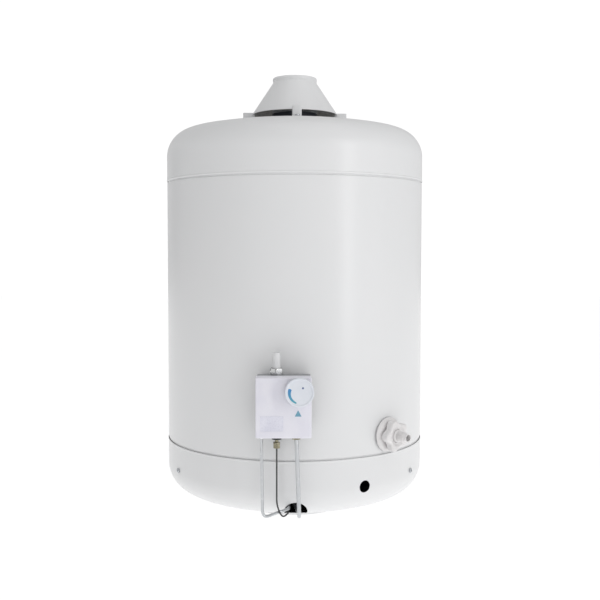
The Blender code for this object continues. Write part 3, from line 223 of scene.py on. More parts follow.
def drawn_out(outline, low, high, easing=0.0, steps=4):
    """A flat outline in X and Y made solid from one height to another, its edges eased."""
    centre = sum((Vector(point) for point in outline), Vector((0, 0))) / len(outline)
    levels = [(low, easing)]
    for step in range(1, steps + 1 if easing else 1):
        turn = math.pi / 2 * step / steps
        levels.append((low + easing * (1 - math.cos(turn)), easing * (1 - math.sin(turn))))
    levels += [(high + low - height, inset) for height, inset in reversed(levels)]
    shape = bmesh.new()
    rings = []
    for height, inset in levels:
        ring = []
        for index, point in enumerate(outline):
            here = Vector(point)
            run = Vector(outline[(index + 1) % len(outline)]) - Vector(outline[index - 1])
            normal = Vector((run.y, -run.x)).normalized()
            if normal.dot(here - centre) < 0:
                normal.negate()
            ring.append(shape.verts.new((*(here - normal * inset), height)))
        rings.append(ring)
    for one, two in zip(rings, rings[1:]):
        wrap(shape, one, two)
    return sealed(shape, rings[0], rings[-1])


def slab(low, high):
    """A square-cornered block, for cutting with and for easing afterwards."""
    shape = bmesh.new()
    bmesh.ops.create_cube(shape, size=1)
    low, high = Vector(low), Vector(high)
    bmesh.ops.scale(shape, verts=shape.verts, vec=high - low)
    bmesh.ops.translate(shape, verts=shape.verts, vec=(low + high) / 2)
    return shape


def ease_edges(shape, edges, easing, steps=4):
    bmesh.ops.bevel(shape, geom=list(edges), offset=easing, segments=steps, profile=0.5,
                    affect="EDGES", clamp_overlap=True)
    return shape


def edges_along_y(shape):
    return [edge for edge in shape.edges if abs(edge.verts[0].co.y - edge.verts[1].co.y) > 1e-6]


def piped(route, radius, bore=0.0, steps=TUBE_STEPS):
    """A tube of even thickness along a route, open where it has a bore."""
    shape = bmesh.new()
    side = Vector((1, 0, 0))
    rings = []
    for index, point in enumerate(route):
        ahead = route[min(index + 1, len(route) - 1)] - route[max(index - 1, 0)]
        ahead.normalize()
        side = (side - ahead * side.dot(ahead)).normalized()
        across = ahead.cross(side)
        pair = []
        for size in ((radius, bore) if bore else (radius,)):
            pair.append([shape.verts.new(point + (side * math.cos(turn) + across * math.sin(turn)) * size)
                         for turn in (FULL_TURN * step / steps for step in range(steps))])
        rings.append(pair)
    for one, two in zip(rings, rings[1:]):
        for before, after in zip(one, two):
            wrap(shape, before, after)
    if not bore:
        return sealed(shape, rings[0][0], rings[-1][0])
    for outer, inner in (rings[0], rings[-1]):
        wrap(shape, outer, inner)
    return sealed(shape)


def bent(points, bend, steps=10):
    """A tube's centre line through the points, with each corner bent smoothly."""
    route = [Vector(points[0])]
    for before, corner, after in zip(points, points[1:], points[2:]):
        corner = Vector(corner)
        back, on = Vector(before) - corner, Vector(after) - corner
        reach = min(bend, back.length / 2, on.length / 2)
        start = corner + back.normalized() * reach
        end = corner + on.normalized() * reach
        route += curve(start, corner, end, steps)
    route.append(Vector(points[-1]))
    return route


def threaded(crest, depth, bore, low, high, pitch, steps=PIPE_STEPS, run_out=None):
    """A pipe end with a real screw thread from one height to another."""
    per_pitch = 8
    rows = max(2, round((high - low) / pitch * per_pitch))
    heights = [low + (high - low) * row / rows for row in range(rows + 1)]
    fade = run_out or pitch

    def cut_thread(angle, radius, height):
        if radius < crest - depth * 0.01:
            return radius
        phase = (height / pitch - angle / FULL_TURN) % 1.0
        swell = 0.5 - 0.5 * math.cos(FULL_TURN * phase)
        close = min(1.0, (height - low) / fade, (high - height) / fade)
        return crest - depth * (swell * max(close, 0.0) + (1 - max(close, 0.0)))

    outline = [(bore, low)] + [(crest, height) for height in heights] + [(bore, high)]
    return spun(outline, steps, cut_thread)


def hexagon(across_corners, bore, low, high, steps=72, chamfer=0.30):
    """A nut: six flats, and both ends turned down to a chamfer."""
    flat = across_corners * math.cos(math.pi / 6)
    reach = (across_corners - flat) * 1.05
    drop = min(reach * 0.6, (high - low) * chamfer)
    levels = [(0.0, 0.0), (0.35, 0.45), (0.7, 0.8), (1.0, 1.15)]
    heights = [(low + drop * up, flat * 0.985 + reach * out) for up, out in levels]
    heights += [(high + low - height, limit) for height, limit in reversed(heights)]
    limits = dict(heights)

    def six_flats(angle, radius, height):
        if radius < flat * 0.9:
            return radius
        part = (angle + math.pi / 6) % (math.pi / 3) - math.pi / 6
        return min(flat / math.cos(part), limits.get(height, radius))

    outline = [(max(bore, 0.0), low)] + [(across_corners, height) for height, _ in heights]
    outline += [(max(bore, 0.0), high)]
    return spun(outline, steps, six_flats)


def loose(shape):
    """A bmesh as an object of its own, for a cut."""
    mesh = bpy.data.meshes.new("blank")
    shape.to_mesh(mesh)
    shape.free()
    blank = bpy.data.objects.new("blank", mesh)
    bpy.context.scene.collection.objects.link(blank)
    return blank


def punched(shape, *punches, operation="DIFFERENCE"):
    """The shape with each punch cut out of it, or joined to it."""
    work = loose(shape)
    tools = [loose(punch) for punch in punches]
    for tool in tools:
        stroke = work.modifiers.new("stroke", "BOOLEAN")
        stroke.operation = operation
        stroke.solver = "EXACT"
        stroke.object = tool
    bpy.context.view_layer.update()
    evaluated = work.evaluated_get(bpy.context.evaluated_depsgraph_get())
    done = bmesh.new()
    done.from_mesh(evaluated.to_mesh())
    evaluated.to_mesh_clear()
    for scrap in [work, *tools]:
        mesh = scrap.data
        bpy.data.objects.remove(scrap)
        bpy.data.meshes.remove(mesh)
    return done


def moved(shape, matrix):
    shape.transform(matrix)
    return shape


def fit(name, shape, finish, stands_for=(), body="heater", stand=None, crease=35, inside_coat_and_shade=None):
    """Makes a finished piece of a shape, and fixes it to the body that it moves with.
    An inside coat and shade is a second finish and a test that picks the faces it covers; it darkens inner
    faces as painted shade, in the covers partly a real ground coat."""
    if stand is not None:
        shape.transform(stand)
    if inside_coat_and_shade:
        shape.normal_update()
        for face in shape.faces:
            face.material_index = int(inside_coat_and_shade[1](face))
    mesh = bpy.data.meshes.new(name)
    shape.to_mesh(mesh)
    shape.free()
    mesh.materials.append(finish)
    if inside_coat_and_shade:
        mesh.materials.append(inside_coat_and_shade[0])
    mesh.shade_smooth()
    mesh.set_sharp_from_angle(angle=math.radians(crease))
    made = bpy.data.objects.new(name, mesh)
    bpy.context.scene.collection.objects.link(made)
    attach(made, body)
    if stands_for:
        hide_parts(*stands_for)
    return made


def upright_node(name):
    """An upright CAD node's lowest and highest height, its radius, and a stand on its axis."""
    low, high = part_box(name)
    axis = Vector(((low.x + high.x) / 2, (low.y + high.y) / 2, 0))
    return low.z, high.z, (high.x - low.x) / 2, Matrix.Translation(axis)


def faces_tank_axis(face):
    """True on the inside of a shell that stands round the tank's axis."""
    away = face.calc_center_median() - TANK_AXIS
    away.z = 0
    return face.normal.dot(away) < -0.05 * away.length


def faces_into_bottom(face):
    """True on the inside of the bottom cover, which is dished about a point on the axis."""
    away = face.calc_center_median() - TANK_AXIS - Vector((0, 0, 0.05))
    return face.normal.dot(away) < -0.2 * away.length


# ---------------------------------------------------------------- finishes

def linear(colour):
    """An sRGB hex colour as linear red, green, blue and alpha."""
    parts = [int(colour[place:place + 2], 16) / 255 for place in (1, 3, 5)]
    return [part / 12.92 if part <= 0.04045 else ((part + 0.055) / 1.055) ** 2.4 for part in parts] + [1.0]


def add(tree, kind, settings=None, links=None):
    """Adds a node with its settings (own fields in lower case, sockets by name or number) and links."""
    made = tree.nodes.new(kind)
    for name, value in (settings or {}).items():
        if name == "stops":
            band = made.color_ramp
            for place, colour in value[2:]:
                band.elements.new(place).color = linear(colour)
            for stop, (place, colour) in zip((band.elements[0], band.elements[-1]), value[:2]):
                stop.position = place
                stop.color = linear(colour)
        elif isinstance(name, str) and name.islower():
            setattr(made, name, value)
        else:
            made.inputs[name].default_value = value
    wire(tree, made, links or {})
    return made


def wire(tree, node, links):
    """Leads other nodes' outputs to a node's sockets."""
    for name, (source, output) in links.items():
        tree.links.new(source.outputs[output], node.inputs[name])


def blank_finish(name, **sockets):
    """A new finish, with what is the same all over it set on the shader itself, and the place on
    the object that its patterns are laid out by."""
    finish = bpy.data.materials.new(name)
    finish.use_nodes = True
    tree = finish.node_tree
    shader = tree.nodes["Principled BSDF"]
    for socket, value in sockets.items():
        shader.inputs[socket.replace("_", " ")].default_value = value
    return finish, tree, shader, (add(tree, "ShaderNodeTexCoord"), "Object")


def stoved_enamel():
    """White stoving enamel sprayed on deep-drawn steel: a glossy skin with a faint orange peel, and
    a colour that drifts a little from one pass of the gun to the next."""
    finish, tree, shader, place = blank_finish("stoved_white_enamel", IOR=1.50)
    # The gun's passes lie about 120 mm apart.
    drift = add(tree, "ShaderNodeTexNoise", {"Scale": 8.0, "Detail": 2.0, "Roughness": 0.5},
                {"Vector": place})
    tint = add(tree, "ShaderNodeValToRGB", {"stops": [(0.0, "#E2E3E4"), (1.0, "#E5E5E6")]},
               {"Fac": (drift, "Fac")})
    # Orange peel is 2 to 3 mm from crest to crest; it is drawn 5 mm, which is as fine as shows.
    peel = add(tree, "ShaderNodeTexNoise", {"Scale": 200.0, "Detail": 1.0, "Roughness": 0.4},
               {"Vector": place})
    waver = add(tree, "ShaderNodeTexNoise", {"Scale": 14.0, "Detail": 1.0}, {"Vector": place})
    heights = add(tree, "ShaderNodeMath", {"operation": "MULTIPLY_ADD", 1: 3.0},
                  {0: (waver, "Fac"), 2: (peel, "Fac")})
    relief = add(tree, "ShaderNodeBump", {"Strength": 0.10, "Distance": 0.4 * MM},
                 {"Height": (heights, "Value")})
    gloss = add(tree, "ShaderNodeMapRange", {"To Min": 0.27, "To Max": 0.30}, {"Value": (drift, "Fac")})
    wire(tree, shader, {"Base Color": (tint, "Color"), "Normal": (relief, "Normal"),
                        "Roughness": (gloss, "Result")})
    return finish


def moulded_plastic(name, pale, deep, roughness, grain_mm, strength, ior=1.54):
    """Injection-moulded plastic from a spark-eroded mould: even colour, a matt grain, soft shine."""
    finish, tree, shader, place = blank_finish(name, IOR=ior)
    flow = add(tree, "ShaderNodeTexNoise", {"Scale": 30.0, "Detail": 3.0, "Distortion": 0.6},
               {"Vector": place})
    tint = add(tree, "ShaderNodeValToRGB", {"stops": [(0.35, deep), (0.65, pale)]},
               {"Fac": (flow, "Fac")})
    grain = add(tree, "ShaderNodeTexNoise", {"Scale": 1000.0 / grain_mm, "Detail": 2.0},
                {"Vector": place})
    relief = add(tree, "ShaderNodeBump", {"Strength": strength, "Distance": 0.1 * MM},
                 {"Height": (grain, "Fac")})
    shine = add(tree, "ShaderNodeMapRange", {"From Min": 0.3, "From Max": 0.7,
                                             "To Min": roughness - 0.04, "To Max": roughness + 0.05},
                {"Value": (grain, "Fac")})
    wire(tree, shader, {"Base Color": (tint, "Color"), "Normal": (relief, "Normal"),
                        "Roughness": (shine, "Result")})
    return finish


def galvanised_sheet():
    """Hot-dip galvanised steel: zinc frozen in flat crystals, each turned its own way, so that the
    sheet is a patchwork of slightly brighter and duller grey."""
    finish, tree, shader, place = blank_finish("galvanised_sheet", Metallic=1.0)
    # A spangle is about 9 mm across.
    spangle = add(tree, "ShaderNodeTexVoronoi", {"Scale": 110.0, "Randomness": 1.0}, {"Vector": place})
    shade = add(tree, "ShaderNodeValToRGB", {"stops": [(0.0, "#9DA1A4"), (1.0, "#C2C5C7")]},
                {"Fac": (spangle, "Color")})
    frost = add(tree, "ShaderNodeTexNoise", {"Scale": 600.0, "Detail": 3.0}, {"Vector": place})
    mixed = add(tree, "ShaderNodeMath", {"operation": "MULTIPLY_ADD", 1: 0.5},
                {0: (frost, "Fac"), 2: (spangle, "Color")})
    dull = add(tree, "ShaderNodeMapRange", {"From Min": 0.2, "From Max": 1.3, "To Min": 0.34,
                                            "To Max": 0.52}, {"Value": (mixed, "Value")})
    relief = add(tree, "ShaderNodeBump", {"Strength": 0.12, "Distance": 0.05 * MM},
                 {"Height": (mixed, "Value")})
    wire(tree, shader, {"Base Color": (shade, "Color"), "Roughness": (dull, "Result"),
                        "Normal": (relief, "Normal")})
    return finish


def worked_metal(name, pale, deep, roughness, line_mm, along, strength=0.12):
    """Turned or drawn metal: fine tool lines across or along the piece, which streak its shine."""
    finish, tree, shader, place = blank_finish(name, Metallic=1.0)
    stretch = add(tree, "ShaderNodeMapping", {"Scale": along}, {"Vector": place})
    lines = add(tree, "ShaderNodeTexNoise", {"Scale": 1000.0 / line_mm, "Detail": 2.0,
                                             "Roughness": 0.6}, {"Vector": (stretch, "Vector")})
    stain = add(tree, "ShaderNodeTexNoise", {"Scale": 120.0, "Detail": 2.0}, {"Vector": place})
    mixed = add(tree, "ShaderNodeMath", {"operation": "MULTIPLY_ADD", 1: 0.4},
                {0: (lines, "Fac"), 2: (stain, "Fac")})
    tint = add(tree, "ShaderNodeValToRGB", {"stops": [(0.45, deep), (0.95, pale)]},
               {"Fac": (mixed, "Value")})
    shine = add(tree, "ShaderNodeMapRange", {"From Min": 0.4, "From Max": 1.0,
                                             "To Min": roughness + 0.06, "To Max": roughness - 0.05},
                {"Value": (mixed, "Value")})
    relief = add(tree, "ShaderNodeBump", {"Strength": strength, "Distance": 0.05 * MM},
                 {"Height": (lines, "Fac")})
    wire(tree, shader, {"Base Color": (tint, "Color"), "Roughness": (shine, "Result"),
                        "Normal": (relief, "Normal")})
    return finish


def sand_cast(name, pale, deep, roughness, grain_mm, metallic, strength=0.35):
    """A casting or a fired coat left as it came: a pebbled skin with a patchy dull colour."""
    finish, tree, shader, place = blank_finish(name, Metallic=metallic)
    pebbles = add(tree, "ShaderNodeTexNoise", {"Scale": 1000.0 / grain_mm, "Detail": 4.0,
                                               "Roughness": 0.6}, {"Vector": place})
    tint = add(tree, "ShaderNodeValToRGB", {"stops": [(0.3, deep), (0.7, pale)]},
               {"Fac": (pebbles, "Fac")})
    shine = add(tree, "ShaderNodeMapRange", {"To Min": roughness - 0.08, "To Max": roughness + 0.08},
                {"Value": (pebbles, "Fac")})
    relief = add(tree, "ShaderNodeBump", {"Strength": strength, "Distance": 0.2 * MM},
                 {"Height": (pebbles, "Fac")})
    wire(tree, shader, {"Base Color": (tint, "Color"), "Roughness": (shine, "Result"),
                        "Normal": (relief, "Normal")})
    return finish


def glass_wool():
    """Resin-bonded glass wool: a matt mat of fibres in lumps, dull yellow with paler tufts."""
    finish, tree, shader, place = blank_finish("glass_wool", Roughness=1.0)
    # The tufts are about 6 mm long, and lie mostly round the tank.
    squash = add(tree, "ShaderNodeMapping", {"Scale": (1, 1, 3)}, {"Vector": place})
    tufts = add(tree, "ShaderNodeTexNoise", {"Scale": 160.0, "Detail": 6.0, "Roughness": 0.7},
                {"Vector": (squash, "Vector")})
    tint = add(tree, "ShaderNodeValToRGB", {"stops": [(0.3, "#A58A3E"), (0.7, "#E3D08C")]},
               {"Fac": (tufts, "Fac")})
    relief = add(tree, "ShaderNodeBump", {"Strength": 0.8, "Distance": 2.0 * MM},
                 {"Height": (tufts, "Fac")})
    wire(tree, shader, {"Base Color": (tint, "Color"), "Normal": (relief, "Normal")})
    return finish


def pad_printed(name, pale, deep):
    """Pad-printed ink on plastic: flat and slightly uneven, with a satin face."""
    finish, tree, shader, place = blank_finish(name, IOR=1.49)
    # The ink's colour changes from the top of the printed mark to its foot.
    spot = add(tree, "ShaderNodeSeparateXYZ", None, {"Vector": (place[0], "Generated")})
    mottle = add(tree, "ShaderNodeTexNoise", {"Scale": 900.0, "Detail": 2.0}, {"Vector": place})
    mixed = add(tree, "ShaderNodeMath", {"operation": "MULTIPLY_ADD", 1: 0.15},
                {0: (mottle, "Fac"), 2: (spot, "Z")})
    tint = add(tree, "ShaderNodeValToRGB", {"stops": [(0.1, deep), (0.9, pale)]},
               {"Fac": (mixed, "Value")})
    shine = add(tree, "ShaderNodeMapRange", {"To Min": 0.35, "To Max": 0.5}, {"Value": (mottle, "Fac")})
    wire(tree, shader, {"Base Color": (tint, "Color"), "Roughness": (shine, "Result")})
    return finish


ENAMEL = stoved_enamel()
COVER_ABS = moulded_plastic("control_cover_abs", "#E9E8F0", "#E3E2EC", 0.36, 1.2, 0.10)
KNOB_ABS = moulded_plastic("knob_abs", "#E4E7EE", "#DCE0E8", 0.32, 1.2, 0.06)
LABEL_FILM = moulded_plastic("blank_label_film", "#E3E3EE", "#DADAE7", 0.28, 2.5, 0.04)
DRAIN_NYLON = moulded_plastic("drain_nylon", "#E9E7E7", "#DFDDDD", 0.36, 1.0, 0.10, 1.53)
PIPE_PLASTIC = moulded_plastic("dip_tube_polypropylene", "#E8E6DE", "#DDDAD0", 0.45, 1.0, 0.10, 1.49)
LEAD_SHEATH = moulded_plastic("lead_sheath_pvc", "#4A4A4B", "#38383A", 0.44, 0.8, 0.20)
GALVANISED = galvanised_sheet()
ALUMINIUM = worked_metal("drawn_aluminium", "#C9CBCD", "#C0C3C6", 0.30, 0.8, (1, 1, 0.05), 0.04)
BRASS = worked_metal("turned_brass", "#D9C79A", "#A98F57", 0.28, 0.7, (0.1, 0.1, 1))
# Darkened brass for the nuts under the control cover: partly tarnish, partly painted shade from the cover
# above.
BRASS_TARNISH_AND_SHADE = worked_metal("tarnished_brass_and_painted_shade", "#A9A48E", "#6B6655", 0.24, 0.7, (0.1, 0.1, 1))
COPPER = worked_metal("drawn_copper", "#CC8A63", "#8A5338", 0.34, 0.8, (1, 1, 0.05))
ZINC = worked_metal("zinc_plated_steel", "#D2D5D8", "#A9ADB2", 0.27, 0.8, (0.2, 0.2, 1))
NICKEL = worked_metal("nickel_plated_tube", "#E2E3E3", "#C4C5C5", 0.20, 1.0, (1, 1, 0.05), 0.05)
CASTING = sand_cast("raw_die_casting", "#B0B1B4", "#929396", 0.50, 0.9, 0.5)
BURNER_STEEL = sand_cast("heat_blued_steel", "#55565C", "#34363C", 0.45, 1.5, 0.9, 0.15)
GLASS_LINING = sand_cast("fired_glass_lining", "#232C39", "#141A24", 0.40, 2.5, 0.0, 0.15)
# A near-black copy of the casting: painted shade under the control cover.
CASTING_PAINTED_SHADE = sand_cast("casting_dark_painted_shade", "#3A3B3D", "#26272A", 0.50, 0.9, 0.3)
MAGNESIUM = sand_cast("cast_magnesium", "#A3A6A8", "#808385", 0.55, 1.2, 0.8)
BLUE_INK = pad_printed("blue_scale_ink", "#4A8BC0", "#55A6B6")
TEAL_INK = pad_printed("teal_pointer_ink", "#79ABC0", "#6C9FB6")
DOT_INK = pad_printed("dark_blue_dot_ink", "#566A96", "#4A5E8C")
# Near-black ground coat. Inside the bottom cover, on the burner ring's upper faces and on the sheet behind
# the tube hole it is also painted shade.
GROUND_COAT_AND_SHADE = sand_cast("dark_ground_coat_and_painted_shade", "#26272A", "#17181A", 0.45, 2.0, 0.0, 0.2)
# Darker grey for the faces inside the draft hood: painted shade.
HOOD_INSIDE_SHADE = sand_cast("hood_inside_painted_shade", "#B5B4B1", "#979592", 0.60, 3.0, 0.0, 0.2)


# ---------------------------------------------------------------- casing

def dish(radius, skirt, knuckle, crown, opening, sheet, hem):
    """The half section of a pressed cover: hemmed edge, straight skirt, knuckle, crown, opening."""
    wall = radius - HEM_PROUD
    centre = skirt - math.sqrt((crown - knuckle) ** 2 - (wall - knuckle) ** 2)
    lean = math.asin((wall - knuckle) / (crown - knuckle))
    roll = HEM_HEIGHT / 2
    outer = []
    for step in range(9):
        turn = math.pi * step / 8
        outer.append((wall + HEM_PROUD * math.sin(turn) if hem else wall, roll - roll * math.cos(turn)))
    inner = [(wall - sheet, 0.0), (wall - sheet, HEM_HEIGHT)]
    knuckle_steps, crown_steps = 20, 28
    for step in range(knuckle_steps + 1):
        turn = (math.pi / 2 - lean) * step / knuckle_steps
        for side, size in ((outer, knuckle), (inner, knuckle - sheet)):
            side.append((wall - knuckle + size * math.cos(turn), skirt + size * math.sin(turn)))
    for side, size in ((outer, crown), (inner, crown - sheet)):
        start = side[-1][0]
        for step in range(1, crown_steps + 1):
            across = start + (opening - start) * step / crown_steps
            side.append((across, centre + math.sqrt(size ** 2 - across ** 2)))
    return outer + inner[::-1]


def dish_height(skirt, knuckle, crown, across):
    wall = COVER_RADIUS - HEM_PROUD
    centre = skirt - math.sqrt((crown - knuckle) ** 2 - (wall - knuckle) ** 2)
    return centre + math.sqrt(crown ** 2 - across ** 2)


def top_cover_rise(across):
    return TOP_SEAM_RISE + dish_height(TOP_SKIRT, TOP_KNUCKLE, TOP_CROWN, across)


def bottom_cover_rise(across):
    return -dish_height(BOTTOM_SKIRT, BOTTOM_KNUCKLE, BOTTOM_CROWN, across)


def make_casing():
    on_axis = Matrix.Translation(TANK_AXIS)
    lap = 0.010
    groove = SEAM_GROOVE_DEPTH
    body = [(JACKET_RADIUS - groove, -lap, 0), (JACKET_RADIUS - groove, SEAM_GROOVE_HEIGHT, 0),
            (JACKET_RADIUS, SEAM_GROOVE_HEIGHT + groove, groove),
            (JACKET_RADIUS, TOP_SEAM_RISE - SEAM_GROOVE_HEIGHT - groove, groove),
            (JACKET_RADIUS - groove, TOP_SEAM_RISE - SEAM_GROOVE_HEIGHT, 0),
            (JACKET_RADIUS - groove, TOP_SEAM_RISE + lap, 0),
            (JACKET_RADIUS - groove - SHEET, TOP_SEAM_RISE + lap, 0),
            (JACKET_RADIUS - groove - SHEET, -lap, 0)]
    fit("jacket_wrap", spun(eased(body), CASING_STEPS), ENAMEL, ["outer_jacket"],
        stand=on_axis)
    # The sheet's two ends are folded together down the back.
    half, proud = 7 * MM, 1.4 * MM
    seam = drawn_out([(-half, -0.6 * MM), (half, -0.6 * MM), (half - 1.5 * MM, proud),
                      (-half + 1.5 * MM, proud)], 0, TOP_SEAM_RISE - 0.008, 0.5 * MM)
    fit("jacket_lock_seam", seam, ENAMEL,
        stand=Matrix.Translation(out_from_tank(math.pi, JACKET_RADIUS, 0.004)))

    top = dish(COVER_RADIUS, TOP_SKIRT, TOP_KNUCKLE, TOP_CROWN, TOP_FLUE_HOLE, SHEET, True)
    fit("top_cover_pressing", spun(top, CASING_STEPS), ENAMEL, ["top_cover"],
        stand=on_axis @ Matrix.Translation((0, 0, TOP_SEAM_RISE)))

    bottom = dish(COVER_RADIUS, BOTTOM_SKIRT, BOTTOM_KNUCKLE, BOTTOM_CROWN, BURNER_OPENING, SHEET, True)
    bottom = [(radius, -height) for radius, height in bottom]
    pressing = moved(spun(bottom, CASING_STEPS), on_axis)
    holes = [moved(spun([(0, -0.012), (SIGHT_RADIUS, -0.012), (SIGHT_RADIUS, 0.012), (0, 0.012)]),
                   facing_out(SIGHT_AZIMUTH, JACKET_RADIUS, SIGHT_RISE))]
    tubes_at = Matrix.Translation(TANK_AXIS + Vector((TUBE_HOLE_X, -JACKET_RADIUS,
                                                      TUBE_HOLE_TOP - TUBE_HOLE_RADIUS)))
    holes.append(moved(spun([(0, -TUBE_HOLE_DEPTH), (TUBE_HOLE_RADIUS, -TUBE_HOLE_DEPTH),
                             (TUBE_HOLE_RADIUS, 0.010), (0, 0.010)], 64),
                       tubes_at @ Matrix.Rotation(math.pi / 2, 4, "X")))
    for name in ("cold_water_nipple", "hot_water_nipple"):
        stand = upright_node(name)[3]
        reach = upright_node(name)[2] + 0.6 * MM
        holes.append(moved(spun([(0, -0.14), (reach, -0.14), (reach, -0.05), (0, -0.05)]),
                           stand @ Matrix.Translation((0, 0, TANK_AXIS.z))))
    # The inside of the bottom cover is near-black: ground coat and painted shade.
    fit("bottom_cover_pressing", punched(pressing, *holes), ENAMEL, ["bottom_cover"],
        inside_coat_and_shade=(GROUND_COAT_AND_SHADE, faces_into_bottom))

    ring_low, ring_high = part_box("bottom_ring")
    foot, brim = ring_low.z - TANK_AXIS.z, ring_high.z - TANK_AXIS.z
    outer = BURNER_OPENING - 0.3 * MM
    flange = (ring_high.x - ring_low.x) / 2
    ring = [(outer - 1.2 * MM, foot, 0.5 * MM), (outer, foot, 0.5 * MM),
            (outer, brim - 1.2 * MM, 0), (flange, brim - 1.2 * MM, 0.3 * MM), (flange, brim, 0.3 * MM),
            (outer - 1.2 * MM, brim, 0.8 * MM)]
    # The ring's upward faces are near-black: ground coat and painted shade inside the burner opening.
    fit("burner_opening_ring", spun(eased(ring), CASING_STEPS), ENAMEL,
        ["bottom_ring"], stand=on_axis, inside_coat_and_shade=(GROUND_COAT_AND_SHADE, lambda face: face.normal.z > 0.5))
    make_shade_sheet()
    for number, azimuth in enumerate(COVER_SCREW_AZIMUTHS, 1):
        fit(f"cover_pan_screw_{number}", pan_screw(), ZINC, [f"cover_screw_{number}"],
            stand=facing_out(azimuth, COVER_RADIUS + 0.1 * MM, COVER_SCREW_RISE))


def make_shade_sheet():
    """A dark sheet that stands between the burner chamber and the bottom cover, behind the hole for the gas
    lines:
    painted shade, so that the hole shows dark. It has a notch that the lines go through."""
    chamber_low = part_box("combustion_chamber")[0].z
    radius, sheet, half_turn, steps = 0.1140, 1.0 * MM, math.radians(56), 48
    low = TANK_AXIS.z + bottom_cover_rise(radius) + 1.5 * MM
    high = chamber_low - 0.5 * MM
    shape = bmesh.new()
    rows = []
    for reach, height in ((radius, low), (radius, high), (radius - sheet, high), (radius - sheet, low)):
        turns = [half_turn * (2 * step / steps - 1) for step in range(steps + 1)]
        rows.append([shape.verts.new((reach * math.sin(turn), TANK_AXIS.y - reach * math.cos(turn), height))
                     for turn in turns])
    for one, two in zip(rows, rows[1:] + rows[:1]):
        wrap(shape, one, two, closed=False)
    sealed(shape, [row[0] for row in rows], [row[-1] for row in rows])
    notch = slab((-0.046, TANK_AXIS.y - 0.130, TANK_AXIS.z - 0.0925),
                 (0.016, TANK_AXIS.y - 0.080, high + 0.001))
    ease_edges(notch, edges_along_y(notch), 4.0 * MM, 5)
    fit("dark_sheet_painted_shade", punched(shape, notch), GROUND_COAT_AND_SHADE)


def pan_screw():
    """A pan head with a cross recess, its underside at height 0."""
    head = in_mm((0, -8, 0), (1.5, -8, 0), (1.9, -6, 0), (1.9, 0, 0), (4.0, 0, 0.2), (4.0, 1.4, 0.7),
                 (2.8, 2.2, 0.8), (0, 2.2, 0))
    cross = []
    for long, wide in ((2.2 * MM, 0.45 * MM), (0.45 * MM, 2.2 * MM)):
        cross.append(slab((-long, -wide, 0.9 * MM), (long, wide, 3 * MM)))
    return punched(spun(eased(head), SCREW_STEPS), *cross)


# ---------------------------------------------------------------- draft hood

def make_hood():
    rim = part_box("flue_draft_hood")[1].z - TANK_AXIS.z
    neck = rim - HOOD_COLLAR_HEIGHT
    base = neck - HOOD_CONE_HEIGHT
    wall = HOOD_SHEET
    collar = HOOD_COLLAR
    section = [(HOOD_BASE, base, 0.4 * MM), (HOOD_BASE - 0.6 * MM, base + 1.6 * MM, 1.0 * MM),
               (collar - 1.0 * MM, neck + 0.4 * MM, 1.6 * MM), (collar, neck + 2.6 * MM, 1.6 * MM),
               (collar, rim, 3.2 * MM), (collar - 4.0 * MM, rim, 2.0 * MM),
               (collar - wall - 1.6 * MM, rim - 4.2 * MM, 1.5 * MM),
               (collar - wall - 1.6 * MM, neck, 1.5 * MM),
               (HOOD_BASE - wall * 2.4, base + 2.0 * MM, 0.6 * MM), (HOOD_BASE - wall, base, 0.3 * MM)]
    # The faces inside the hood take the darker grey: painted shade.
    fit("draft_hood_spinning", spun(eased(section), 128), ENAMEL, ["flue_draft_hood"],
        stand=Matrix.Translation(TANK_AXIS), inside_coat_and_shade=(HOOD_INSIDE_SHADE, faces_tank_axis))
    reach, toe = HOOD_LEG_REACH, HOOD_LEG_REACH + HOOD_LEG_FOOT
    half, wide = HOOD_LEG_SHEET / 2, HOOD_LEG_WIDTH / 2
    low, high = top_cover_rise(HOOD_LEG_ROOT) + 0.6 * MM, base + HOOD_LEG_OVER_BASE
    inside, turned_in = wide - HOOD_LEG_SHEET, 1.6 * MM
    # Each leg is folded from one strip: a face, and a flange on each side that reaches the hood.
    face, flat = reach + half, 0.5 * MM
    fold = [(HOOD_LEG_ROOT, -wide), (face - turned_in, -wide), (face - flat, -wide + flat),
            (face, -wide + turned_in), (face, wide - turned_in),
            (face - flat, wide - flat), (face - turned_in, wide),
            (HOOD_LEG_ROOT, wide), (HOOD_LEG_ROOT, inside), (reach - half - 0.6 * MM, inside),
            (reach - half, inside - 0.6 * MM), (reach - half, -inside + 0.6 * MM),
            (reach - half - 0.6 * MM, -inside), (HOOD_LEG_ROOT, -inside)]
    line = bent([(reach, 0, low + 1.0 * MM), (reach, 0, top_cover_rise(reach) + half),
                 (toe, 0, top_cover_rise(toe) + half)], 2.4 * MM, 6)
    for number in range(HOOD_LEGS):
        turn = HOOD_TURN + FULL_TURN * number / HOOD_LEGS
        stand = Matrix.Translation(TANK_AXIS) @ Matrix.Rotation(turn - math.pi / 2, 4, "Z")
        fit(f"hood_leg_{number + 1}", upright_channel(fold, low, high), ENAMEL, stand=stand)
        fit(f"hood_leg_foot_{number + 1}", flat_strap(line, HOOD_LEG_WIDTH - 0.4 * MM, HOOD_LEG_SHEET),
            ENAMEL, stand=stand)
        spot = out_from_tank(turn, reach + HOOD_LEG_FOOT / 2, top_cover_rise(reach) + HOOD_LEG_SHEET)
        fit(f"hood_pan_screw_{number + 1}", pan_screw(), ZINC,
            [f"hood_screw_{number + 1}"], stand=Matrix.Translation(spot))


def upright_channel(fold, low, high):
    """A folded strip standing upright, from its outline seen from above."""
    shape = bmesh.new()
    rings = [[shape.verts.new((x, y, height)) for x, y in fold] for height in (low, high)]
    wrap(shape, *rings)
    return sealed(shape, *rings)


